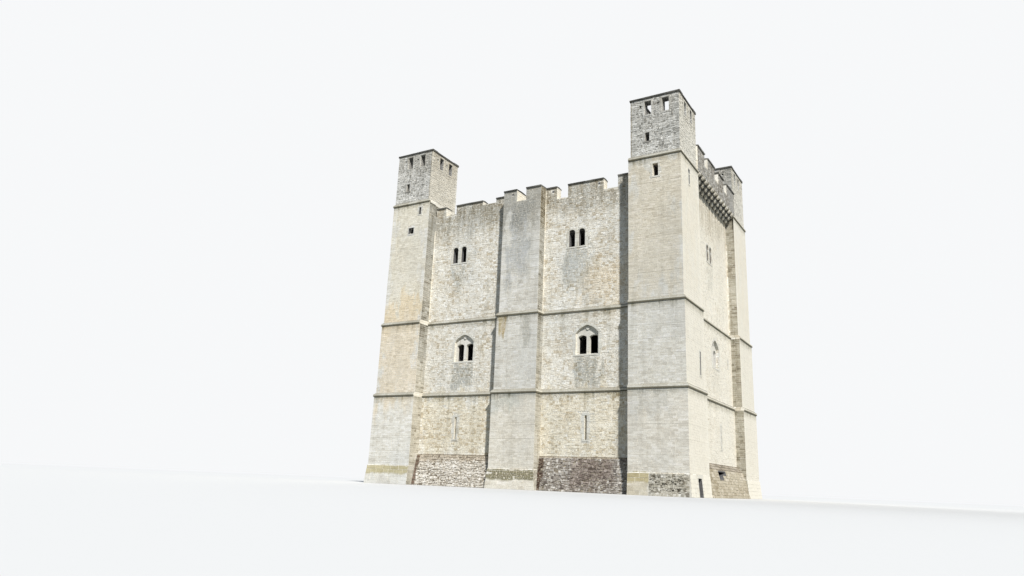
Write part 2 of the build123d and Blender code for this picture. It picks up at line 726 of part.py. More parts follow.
def main():
    """Build every piece and write it."""
    os.makedirs("parts", exist_ok=True)
    near_top = top_stage()
    near_coping = top_coping()
    shafts = turret_shafts()
    tops = {corner: on_corner(corner, near_top) for corner in shafts}
    for corner in shafts:
        save(shafts[corner], f"{corner}_turret_shaft")
        save(tops[corner], f"{corner}_turret_top_stage")
        save(on_corner(corner, near_coping), f"{corner}_turret_coping")
    for side in (FRONT, REAR, RIGHT, LEFT):
        for storey, low, high, openings in STOREYS:
            save(side.place(storey_wall(side, low, high, openings)), f"{side.name}_{storey}_wall")
        save(side.place(hall_tracery(side)), f"{side.name}_hall_windows")
    for side in (FRONT, REAR):
        body = buttress(side)
        save(side.place(body), f"{side.name}_buttress")
        blocks = batter_blocks(side, LONG_BLOCK_FOOT, LONG_BLOCK_LEDGE, body)
        save(side.place(blocks), f"{side.name}_batter_blocks")
        save(side.place(long_parapet(side)), f"{side.name}_parapet")
    for side in (RIGHT, LEFT):
        blocks = batter_blocks(side, SHORT_BLOCK_FOOT, SHORT_BLOCK_LEDGE) - breach(side)
        save(side.place(blocks), f"{side.name}_batter_block")
        corners = [corner for corner in shafts if side.name in corner]
        turrets = [piece[corner] for corner in corners for piece in (shafts, tops)]
        save(short_parapet(side, turrets), f"{side.name}_parapet")
        save(side.place(corbel_table(side)), f"{side.name}_corbel_table")
    inside = (-LONG_SPAN, LONG_SPAN, -SHORT_SPAN, SHORT_SPAN)
    save(block(*inside, FIRST_FLOOR - FLOOR_THICK, FIRST_FLOOR), "first_floor")
    save(block(*inside, SECOND_FLOOR - FLOOR_THICK, SECOND_FLOOR), "second_floor")
    save(block(*inside, TERRACE - TERRACE_THICK, TERRACE), "roof_terrace")


main()
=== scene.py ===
"""Looks of the stone keep: laid stones, dressed openings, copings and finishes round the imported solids.

Every measure is in metres in the frame of the solids: X along the long front, Y to the rear, Z up.
A wall face is drawn as seen from outside: across from left to right, out from the middle of the
plan, and up. Single stones are laid out in Python and set in place by one Geometry Nodes tree.
"""

import logging
import math
import random
from dataclasses import dataclass, field, replace
from enum import Enum, IntEnum
from typing import Iterator, Sequence

import bmesh
import bpy
from mathutils import Matrix, Vector, noise


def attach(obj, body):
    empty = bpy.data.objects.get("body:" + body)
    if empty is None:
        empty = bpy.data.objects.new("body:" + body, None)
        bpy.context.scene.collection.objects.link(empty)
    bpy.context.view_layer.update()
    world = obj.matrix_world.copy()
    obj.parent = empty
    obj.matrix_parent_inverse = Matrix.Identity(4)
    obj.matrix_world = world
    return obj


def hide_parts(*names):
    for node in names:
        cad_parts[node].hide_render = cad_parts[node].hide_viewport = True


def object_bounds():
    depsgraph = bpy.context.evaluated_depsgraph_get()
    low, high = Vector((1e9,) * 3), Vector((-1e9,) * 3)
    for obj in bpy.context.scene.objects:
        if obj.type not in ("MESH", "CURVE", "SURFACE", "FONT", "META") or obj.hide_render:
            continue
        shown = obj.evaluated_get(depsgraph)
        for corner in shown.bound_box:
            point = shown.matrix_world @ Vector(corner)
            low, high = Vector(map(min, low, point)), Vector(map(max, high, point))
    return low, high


logging.basicConfig(level=logging.INFO, format="%(name)s %(message)s")
log = logging.getLogger("keep")
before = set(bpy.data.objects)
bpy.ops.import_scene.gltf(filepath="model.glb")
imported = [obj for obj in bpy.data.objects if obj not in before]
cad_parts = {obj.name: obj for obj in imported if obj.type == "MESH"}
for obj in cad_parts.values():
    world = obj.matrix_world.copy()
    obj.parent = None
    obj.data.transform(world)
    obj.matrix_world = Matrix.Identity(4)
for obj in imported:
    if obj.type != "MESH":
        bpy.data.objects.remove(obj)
CAD_BOX = [list(corner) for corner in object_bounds()]

Colour = tuple[float, float, float]
Screen = tuple[int, int, int]
Section = Sequence[tuple[float, float]]
Material = bpy.types.Material
Socket = bpy.types.NodeSocket

HALF_LENGTH = 10.7
HALF_WIDTH = 7.65
LONG_SPAN = 7.4
SHORT_SPAN = 4.2
LONG_FACE = 6.75
SHORT_FACE = 10.1
BUTTRESS_HALF = 1.47
BUTTRESS_FACE = 7.45
SET_OFF = 0.08
FIRST_STRING = 5.73
SECOND_STRING = 10.58
TOP_STRING = 19.34
STRING_DROP = 0.15
STRING_SLOPE = 0.12
PLINTH_TOP = 1.17
PLINTH_SPREAD = 0.21
LONG_WALL_TOP = 18.84
LONG_TOP = 18.95
SHORT_FOOT = 19.4
SHORT_TOP = 21.1
TERRACE = 17.2
STAGE_FOOT = 19.47
STAGE_TOP = 23.15
NECK_SET = 0.14
STAGE_X = (7.54, 10.56)
STAGE_Y = (4.34, 7.51)
EMBED = 0.012
HALL_RISE = 0.48
HALL_BULGE = 0.08
COPING_THICK = 0.11
COPING_LIP = 0.06
COPING_FALL = 0.045
SHORT_PARAPET_FACE = 10.66
SHORT_PARAPET_BACK = 10.21
LONG_PARAPET_BACK = 6.12
PLINTH_LEDGE = 0.03
PLINTH_BEVEL = 0.03
BAY_FOOT = 1.93
REVEAL = 0.2
CORBEL_BACK = 9.91
CORBEL_REACH = 0.2133
CORBEL_FOOT = 18.75
CORBEL_RISE = 0.21
HALL_SILL = 7.85
HALL_CENTRES = (-4.34, 4.46)
TWIN_CENTRES = (-5.2, 3.64)
SIDE_HALL_CENTRE = 0.3
SIDE_TWIN_CENTRE = -0.2
NEAR = 1e-4
SHORTEST_SPAN = 0.04
SHORTEST_STONE = 0.03
THINNEST_STONE = 0.05


class Side(Enum):
    """The way a wall face looks, as its turn in degrees from the front."""

    FRONT = 0
    RIGHT = 90
    REAR = 180
    LEFT = -90

    @property
    def turn(self) -> float:
        """The turn about the upright axis, in radians."""
        return math.radians(self.value)

    @property
    def long(self) -> bool:
        """Whether it is one of the two long sides."""
        return self in (Side.FRONT, Side.REAR)

    @property
    def word(self) -> str:
        """Its name as the pieces' names hold it."""
        return self.name.lower()

    @property
    def back(self) -> "Side":
        """The side that looks the other way."""
        ring = list(Side)
        return ring[(ring.index(self) + 2) % len(ring)]

    def at(self, across: float, out: float, height: float) -> Vector:
        """Gives the point that lies so far across from left to right, out from the middle, and up."""
        return Matrix.Rotation(self.turn, 3, "Z") @ Vector((across, -out, height))


LONG_SIDES = (Side.FRONT, Side.REAR)
SHORT_SIDES = (Side.RIGHT, Side.LEFT)


class Seed(IntEnum):
    """Where the draws of each kind of stonework start."""

    RING_COPING = 61
    WINDOW = 71
    ROBBED = 77
    SHAFT_WINDOW = 83
    STAGE_WINDOW = 89
    STRING = 97
    BAY = 100
    COPING = 101
    TOP_STRING = 103
    BUTTRESS = 200
    SHAFT = 300
    RETURN = 340
    NECK = 380
    NECK_FOOT = 390
    STAGE = 420
    FOOT = 500
    OUTER_PARAPET = 640
    INNER_PARAPET = 650
    WALK_BACK = 660


class Head(Enum):
    """The form of an opening's head."""

    FLAT = "flat"
    ROUND = "round"
    POINTED = "pointed"


class Outline(Enum):
    """How a wall face steps with its height."""

    PLAIN = "plain"
    STOREYED = "storeyed"
    PLINTHED = "plinthed"

    def offset(self, height: float) -> float:
        """Gives how far the face stands out from its middle storey.

        Args:
            height: above the ground.

        Returns:
            The distance outwards.
        """
        if self is Outline.PLAIN:
            return 0.0
        if self is Outline.PLINTHED and height < PLINTH_TOP:
            batter = (PLINTH_SPREAD - SET_OFF - PLINTH_LEDGE) / (PLINTH_TOP - PLINTH_BEVEL)
            return PLINTH_SPREAD - batter * height
        if height < FIRST_STRING:
            return SET_OFF
        if height < SECOND_STRING:
            return 0.0
        return -SET_OFF


@dataclass(frozen=True)
class Opening:
    """A window, slit or gap that the stones keep clear of."""

    centre: float
    half: float
    sill: float
    top: float
    head: Head = Head.FLAT
    jamb: float = 0.0
    block: float = 0.27

    @property
    def spring(self) -> float:
        """The height at which the head starts."""
        return self.top - {Head.FLAT: 0.0, Head.ROUND: self.half, Head.POINTED: HALL_RISE}[self.head]

    def spans(self, margin: float) -> tuple[tuple[float, float], tuple[float, float]]:
        """Gives its ends across and its heights, both with a margin round it."""
        reach = self.half + margin
        return (self.centre - reach, self.centre + reach), (self.sill - margin, self.top + margin)

    @property
    def arc(self) -> tuple[float, float, float]:
        """The middle and radius of the head's right arc, from the opening's middle at the spring."""
        if self.head is not Head.POINTED:
            return 0.0, 0.0, self.half
        span = math.hypot(self.half, HALL_RISE)
        radius = (span * span / 4 + HALL_BULGE**2) / (2 * HALL_BULGE)
        inward = radius - HALL_BULGE
        return self.half / 2 - inward * HALL_RISE / span, HALL_RISE / 2 - inward * self.half / span, radius

    def jamb_at(self, height: float) -> float:
        """Gives the width of the dressed jamb stone at a height, wide and narrow by turns."""
        course = int(math.floor((height - self.sill) / self.block))
        return self.jamb * (1.55 if course % 2 else 1.0)

    def reach(self, low: float, high: float) -> float:
        """Gives how far from its middle the opening keeps a course clear.

        Args:
            low: the course's bed.
            high: the course's top.

        Returns:
            Half of the cleared width, or 0 where the course passes by.
        """
        if high <= self.sill - self.jamb * 0.5 or low >= self.top + self.jamb:
            return 0.0
        if low <= self.spring:
            return self.half + max(self.jamb_at(low + 0.01), self.jamb_at(high - 0.01))
        if self.head is Head.FLAT:
            return self.half + self.jamb
        across, up, radius = self.arc
        rise = low - self.spring - up
        radius += self.jamb
        return max(0.0, across + math.sqrt(radius * radius - rise * rise)) if rise < radius else 0.0


@dataclass(frozen=True)
class Face:
    """A flat or stepped piece of wall that takes laid stones."""

    side: Side
    start: float
    end: float
    low: float
    high: float
    out: float
    outline: Outline = Outline.PLAIN
    edge: Outline = Outline.PLAIN
    openings: tuple[Opening, ...] = ()
    quoins: tuple[bool, bool] = (False, False)
    grows: tuple[bool, bool] = (False, False)
    batter: float = 0.0

    def surface(self, height: float) -> float:
        """The distance of the face from the middle of the plan at a height."""
        return self.out + self.outline.offset(height) - self.batter * height

    def ends(self, height: float) -> tuple[float, float]:
        """Gives the two ends of a course, which follow the steps at outer corners.

        Args:
            height: above the ground.

        Returns:
            The start and the end, from left to right.
        """
        grow = self.edge.offset(height)
        start = self.start - grow if self.grows[0] else self.start
        end = self.end + grow if self.grows[1] else self.end
        return start, end


@dataclass(frozen=True)
class Bond:
    """Sizes of the stones of one kind of walling."""

    course: tuple[float, float]
    length: tuple[float, float]
    relief: float
    joint: float
    quoin: tuple[float, float]
    jitter: float
    shed: float
    seed: int
    wander: float = 0.0
    embed: float = EMBED
    wave: float = 0.0

    def swell(self, across: float, number: int, last: int) -> float:
        """Gives how far a bed joint strays from its level at one place.

        Args:
            across: the place along the wall.
            number: of the bed, from the foot.
            last: the number of the last bed, which stays level like the first one.

        Returns:
            The rise of the bed.
        """
        if not self.wave or number in (0, last):
            return 0.0
        return self.wave * noise.noise(Vector((across * 2.4, number * 3.7, float(self.seed))))

    def courses(self, low: float, high: float) -> list[float]:
        """Splits a height into courses.

        Args:
            low: the lowest bed.
            high: the top of the last course.

        Returns:
            The bed heights, with the top as the last one.
        """
        draw = random.Random(self.seed + int(low * 100))
        beds = [low]
        while beds[-1] < high:
            beds.append(beds[-1] + draw.uniform(*self.course))
        scale = (high - low) / (beds[-1] - low)
        return [low + (bed - low) * scale for bed in beds]


@dataclass
class StoneField:
    """A list of single stones, with the place, size, turn and tone of each."""

    places: list[Vector] = field(default_factory=list)
    sizes: list[Vector] = field(default_factory=list)
    turns: list[Vector] = field(default_factory=list)
    tones: list[float] = field(default_factory=list)

    def add(self, place: Vector, size: Vector, turn: Vector, tone: float) -> None:
        """Adds one stone.

        Args:
            place: the middle of the stone on the wall face.
            size: length, depth and height.
            turn: Euler angles.
            tone: from 0 to 1, which its finish reads.
        """
        self.places.append(place)
        self.sizes.append(size)
        self.turns.append(turn)
        self.tones.append(min(1.0, max(0.0, tone)))

    def lay(self, face: Face, bond: Bond, seed: int) -> None:
        """Lays a face in courses, clear of its openings.

        Args:
            face: the wall face.
            bond: the sizes of the stones.
            seed: of the draws for this face.
        """
        draw = random.Random(seed)
        beds = bond.courses(face.low, face.high)
        for index, (low, high) in enumerate(zip(beds, beds[1:])):
            middle = (low + high) / 2
            start, end = face.ends(middle)
            lean = math.atan((face.surface(high - 0.001) - face.surface(low + 0.001)) / (high - low))
            margin = bond.wave * 0.3
            for left, right in free_spans(start, end, low - margin, high + margin, face.openings):
                cuts = self._cut(left, right, index, face, bond, draw, (start, end))
                for a, b in zip(cuts, cuts[1:]):
                    if b - a < SHORTEST_STONE or draw.random() < bond.shed:
                        continue
                    foot = low + bond.swell((a + b) / 2, index, len(beds) - 1)
                    head = high + bond.swell((a + b) / 2, index + 1, len(beds) - 1)
                    self._set(face, bond, draw, (a, b, foot, max(head, foot + THINNEST_STONE)), lean)

    @staticmethod
    def _cut(
        left: float,
        right: float,
        index: int,
        face: Face,
        bond: Bond,
        draw: random.Random,
        ends: tuple[float, float],
    ) -> list[float]:
        """Cuts a free length of a course into stones.

        Args:
            left: where the length starts.
            right: where it ends.
            index: the number of the course, for quoins long and short by turns.
            face: the wall face.
            bond: the sizes of the stones.
            draw: the source of chance.
            ends: the two ends of the whole course.

        Returns:
            The places of the upright joints, with both ends.
        """
        long_first = index % 2 == (0 if face.side.long else 1)
        quoin = bond.quoin[1] if long_first else bond.quoin[0]
        cuts = [left]
        stop = right
        if face.quoins[0] and left == ends[0] and right - left > quoin * 1.3:
            cuts.append(left + quoin * draw.uniform(0.9, 1.1))
        if face.quoins[1] and right == ends[1] and stop - cuts[-1] > quoin * 1.3:
            stop = right - quoin * draw.uniform(0.9, 1.1)
        while stop - cuts[-1] > NEAR:
            length = draw.uniform(*bond.length)
            rest = stop - cuts[-1] - length
            cuts.append(stop if rest < bond.length[0] * 0.6 else cuts[-1] + length)
        if stop < right:
            cuts.append(right)
        return cuts

    def _set(
        self,
        face: Face,
        bond: Bond,
        draw: random.Random,
        cell: tuple[float, float, float, float],
        lean: float,
    ) -> None:
        """Sets one stone in its cell of the course.

        Args:
            face: the wall face.
            bond: the sizes of the stones.
            draw: the source of chance.
            cell: left, right, bed and top.
            lean: how far the face leans outwards, in radians.
        """
        a, b, low, high = cell
        start, end = face.ends((low + high) / 2)
        relief = bond.relief * draw.uniform(0.55, 1.25)
        if face.quoins[0] and a <= start + NEAR:
            a -= relief * 0.7
        if face.quoins[1] and b >= end - NEAR:
            b += relief * 0.7
        middle = (low + high) / 2
        surface = face.surface(middle)
        shift = max(-bond.wander, min(bond.wander, draw.gauss(0.0, bond.wander / 2)))
        place = face.side.at((a + b) / 2, surface + (relief - bond.embed) / 2, middle + shift)
        size = Vector((b - a - bond.joint, relief + bond.embed, high - low - bond.joint))
        size[2] -= abs(shift) + draw.uniform(0.0, bond.wander)
        patch = noise.noise(place * 0.45) * 0.28 + noise.noise(place * 1.7) * 0.1
        tone = 0.5 + patch + draw.gauss(0.0, 0.26)
        turn = Vector((lean, draw.gauss(0.0, bond.jitter * 0.6), face.side.turn))
        self.add(place, size, turn, tone)


def free_spans(
    start: float, end: float, low: float, high: float, openings: Sequence[Opening]
) -> Iterator[tuple[float, float]]:
    """Gives the lengths of a course that no opening takes.

    Args:
        start: the course's left end.
        end: its right end.
        low: its bed.
        high: its top.
        openings: what the course keeps clear of.

    Returns:
        Pairs of left and right.
    """
    blocked = sorted(
        (o.centre - o.reach(low, high), o.centre + o.reach(low, high))
        for o in openings
        if o.reach(low, high) > 0
    )
    cursor = start
    for left, right in blocked:
        if left > cursor + SHORTEST_SPAN:
            yield cursor, min(left, end)
        cursor = max(cursor, right)
    if end > cursor + SHORTEST_SPAN:
        yield cursor, end


def shade(red: int, green: int, blue: int) -> Colour:
    """Turns a screen colour of 0 to 255 into the linear colour that the shaders take."""
    shares = (red / 255, green / 255, blue / 255)
    return tuple(value / 12.92 if value <= 0.04 else ((value + 0.055) / 1.055) ** 2.4 for value in shares)


# Painted sunlight: the pale colour that faces looking along X are mixed towards.
SUNLIT_PALE = shade(250, 243, 226)
CROWN_DIRT = shade(190, 182, 166)
STRING_DAMP = shade(164, 162, 146)
# Dark for the lower string lips, partly dirt and partly painted shade, and painted shade on the string
# slopes.
LIP_AND_SLOPE_DARK = shade(128, 125, 112)
# Painted shade for rooms, reveals and other hollows.
HOLLOW_SHADE = shade(92, 92, 94)


@dataclass(frozen=True)
class Plan:
    """A rectangular mass in plan, whose outer sides may step with their height."""

    x0: float
    x1: float
    y0: float
    y1: float
    outline: Outline = Outline.PLAIN
    growing: tuple[Side, ...] = ()

    def face(
        self,
        side: Side,
        low: float,
        high: float,
        clip: tuple[float, float] | None = None,
        openings: tuple[Opening, ...] = (),
    ) -> Face:
        """Gives the wall face on one side.

        Args:
            side: the way it looks.
            low: its foot.
            high: its top.
            clip: the part of it that shows, from left to right.
            openings: what its stones keep clear of.

        Returns:
            The face.
        """
        out = {Side.FRONT: -self.y0, Side.REAR: self.y1, Side.RIGHT: self.x1, Side.LEFT: -self.x0}[side]
        start, end = {
            Side.FRONT: (self.x0, self.x1),
            Side.REAR: (-self.x1, -self.x0),
            Side.RIGHT: (self.y0, self.y1),
            Side.LEFT: (-self.y1, -self.y0),
        }[side]
        ring = list(Side)
        before = ring[ring.index(side) - 1]
        after = ring[(ring.index(side) + 1) % len(ring)]
        left, right = clip or (start, end)
        whole = (left <= start, right >= end)
        return Face(
            side,
            max(left, start),
            min(right, end),
            low,
            high,
            out,
            outline=self.outline if side in self.growing else Outline.PLAIN,
            edge=self.outline,
            openings=openings,
            quoins=whole,
            grows=(whole[0] and before in self.growing, whole[1] and after in self.growing),
        )


class Tree:
    """A short way to build a node tree."""

    def __init__(self, tree: bpy.types.NodeTree) -> None:
        """Keeps the tree that is built."""
        self.tree = tree

    def node(self, kind: str, **values: object) -> bpy.types.Node:
        """Adds a node and sets its properties.

        Args:
            kind: the node's type name.
            values: properties by name.

        Returns:
            The new node.
        """
        made = self.tree.nodes.new(kind)
        for name, value in values.items():
            setattr(made, name, value)
        return made

    def link(self, source: object, target: object) -> None:
        """Links a socket to a socket, or sets the target to a plain value."""
        if isinstance(source, Socket):
            self.tree.links.new(source, target)
        else:
            target.default_value = source

    def math(self, operation: str, *inputs: object, clamp: bool = False) -> Socket:
        """Adds a Math node.

        Args:
            operation: such as ADD.
            inputs: sockets or numbers.
            clamp: keeps the result between 0 and 1.

        Returns:
            The result socket.
        """
        made = self.node("ShaderNodeMath", operation=operation, use_clamp=clamp)
        for value, target in zip(inputs, made.inputs):
            self.link(value, target)
        return made.outputs[0]

    def span(
        self, value: object, low: float, high: float, to_low: float = 0.0, to_high: float = 1.0
    ) -> Socket:
        """Maps a value from one range to another, clamped and smooth.

        Args:
            value: a socket.
            low: the value that gives to_low.
            high: the value that gives to_high.
            to_low: the result at low.
            to_high: the result at high.

        Returns:
            The result socket.
        """
        made = self.node("ShaderNodeMapRange", interpolation_type="SMOOTHSTEP")
        for number, given in enumerate((value, low, high, to_low, to_high)):
            self.link(given, made.inputs[number])
        return made.outputs[0]

    def mix(self, factor: object, first: object, second: object, blend: str = "MIX") -> Socket:
        """Mixes two colours.

        Args:
            factor: socket or number.
            first: socket or colour.
            second: socket or colour.
            blend: the blend type.

        Returns:
            The colour socket.
        """
        made = self.node("ShaderNodeMix", data_type="RGBA", blend_type=blend, clamp_factor=True)
        for given, target in ((factor, made.inputs[0]), (first, made.inputs[6]), (second, made.inputs[7])):
            if isinstance(given, tuple):
                given = (*given, 1.0)
            self.link(given, target)
        return made.outputs[2]

    def grain(self, place: object, scale: float, detail: float = 3.0, rough: float = 0.6) -> object:
        """Adds a noise that varies about 0.5.

        Args:
            place: the coordinate socket.
            scale: features in a metre.
            detail: octaves.
            rough: weight of the finer octaves.

        Returns:
            The factor socket.
        """
        made = self.node("ShaderNodeTexNoise")
        self.link(place, made.inputs["Vector"])
        self.link(scale, made.inputs["Scale"])
        self.link(detail, made.inputs["Detail"])
        self.link(rough, made.inputs["Roughness"])
        return made.outputs[0]

    def stretched(self, place: object, scale: Colour) -> object:
        """Scales a coordinate along each axis.

        Args:
            place: the coordinate socket.
            scale: factors along X, Y and Z.

        Returns:
            The vector socket.
        """
        made = self.node("ShaderNodeVectorMath", operation="MULTIPLY")
        self.link(place, made.inputs[0])
        made.inputs[1].default_value = scale
        return made.outputs[0]

    def split(self, vector: object) -> Sequence[Socket]:
        """Gives the X, Y and Z of a vector."""
        made = self.node("ShaderNodeSeparateXYZ")
        self.link(vector, made.inputs[0])
        return made.outputs

    def facing(self) -> Sequence[Socket]:
        """Gives the X, Y and Z of the way the surface looks."""
        return self.split(self.node("ShaderNodeNewGeometry").outputs["True Normal"])

    def seen(self) -> Socket:
        """Marks the rays that see a surface straight, mirrored or through glass."""
        rays = self.node("ShaderNodeLightPath").outputs
        bent = self.math("MAXIMUM", rays["Is Glossy Ray"], rays["Is Transmission Ray"])
        return self.math("MAXIMUM", rays["Is Camera Ray"], bent)

    def either(self, switch: object, first: object, second: object) -> Socket:
        """Gives the first number where the switch is 0, and the second where it is 1."""
        made = self.node("ShaderNodeMix", data_type="FLOAT")
        for given, number in ((switch, 0), (first, 2), (second, 3)):
            self.link(given, made.inputs[number])
        return made.outputs[0]

    def surface(
        self, colour: object, rough: object, height: object, bump: tuple[float, float], specular: float
    ) -> None:
        """Ends a material with a bumped surface.

        Args:
            colour: the colour socket.
            rough: the roughness socket.
            height: what the bump reads.
            bump: the bump's strength and its distance in metres.
            specular: how strongly it mirrors.
        """
        shader = self.node("ShaderNodeBsdfPrincipled")
        self.link(colour, shader.inputs["Base Color"])
        self.link(rough, shader.inputs["Roughness"])
        shader.inputs["Specular IOR Level"].default_value = specular
        relief = self.node("ShaderNodeBump")
        relief.inputs["Strength"].default_value, relief.inputs["Distance"].default_value = bump
        self.link(height, relief.inputs["Height"])
        self.link(relief.outputs[0], shader.inputs["Normal"])
        self.link(shader.outputs[0], self.node("ShaderNodeOutputMaterial").inputs[0])

    def ramp(self, factor: object, stops: Sequence[tuple[float, Colour]]) -> object:
        """Adds a colour ramp.

        Args:
            factor: the socket that runs along it.
            stops: positions and colours.

        Returns:
            The colour socket.
        """
        made = self.node("ShaderNodeValToRGB")
        self.link(factor, made.inputs[0])
        elements = made.color_ramp.elements
        while len(elements) < len(stops):
            elements.new(0.5)
        for element, (position, colour) in zip(elements, stops):
            element.position = position
            element.color = (*colour, 1.0)
        return made.outputs[0]


def new_material(name: str) -> tuple[Material, Tree]:
    """Makes an empty material, and the tree that its nodes go into."""
    material = bpy.data.materials.new(name)
    material.use_nodes = True
    material.node_tree.nodes.clear()
    return material, Tree(material.node_tree)


@dataclass(frozen=True)
class Stain:
    """A soft-edged darker patch on one side of the keep: mostly weathering, and under the corbels painted
    shade.
    """

    side: Side
    start: float
    end: float
    low: float
    high: float
    colour: Screen
    strength: float
    edge: float


@dataclass(frozen=True)
class Hollow:
    """A room or recess that is painted dark as shade, as a box."""

    low: Colour
    high: Colour
    edge: float = 0.03


def half_turned(boxes: Sequence[Sequence[tuple[float, float]]], edge: float) -> tuple[Hollow, ...]:
    """Gives hollows, each with its twin at half a turn round the keep.

    Args:
        boxes: for each hollow, its two ends along X, along Y and in height.
        edge: how soft its sides are.

    Returns:
        The hollows.
    """
    made = []
    for way in (1, -1):
        for along_x, along_y, heights in boxes:
            spans = (sorted(way * x for x in along_x), sorted(way * y for y in along_y), heights)
            made.append(Hollow(tuple(span[0] for span in spans), tuple(span[1] for span in spans), edge))
    return tuple(made)


# Boxes where shade is painted: the rooms and upper reveals, the outlet, and the four shaft rooms.
ROOMS = (
    Hollow(
        (-SHORT_FACE + REVEAL, -LONG_FACE + REVEAL, -1.0),
        (SHORT_FACE - REVEAL, LONG_FACE - REVEAL, TERRACE - 0.08),
        0.14,
    ),
    Hollow((9.3, -6.5, -1.0), (10.93, -5.8, 1.0)),
    Hollow((-9.99, -6.64, 14.55), (9.99, 6.64, 15.9), 0.05),
    *(
        Hollow((x, y, PLINTH_TOP + 0.2), (x + 2.9, y + 2.9, TOP_STRING - 0.4), 0.1)
        for x in (-10.5, 7.6)
        for y in (-7.34, 4.44)
    ),
)
# Painted shade in the gaps between the corbels, step by step.
SLOTS = half_turned(
    [
        ((9.8, CORBEL_BACK + CORBEL_REACH * (step + 1)), (-4.3, 4.3), (foot, foot + 0.25))
        for step, foot in enumerate(CORBEL_FOOT + CORBEL_RISE * number for number in range(3))
    ],
    0.02,
)
# Painted shade in the breach at the foot of each short side.
BREACH = half_turned([((10.0, 10.72), (-1.9, 0.0), (0.9, 1.55))], 0.03)


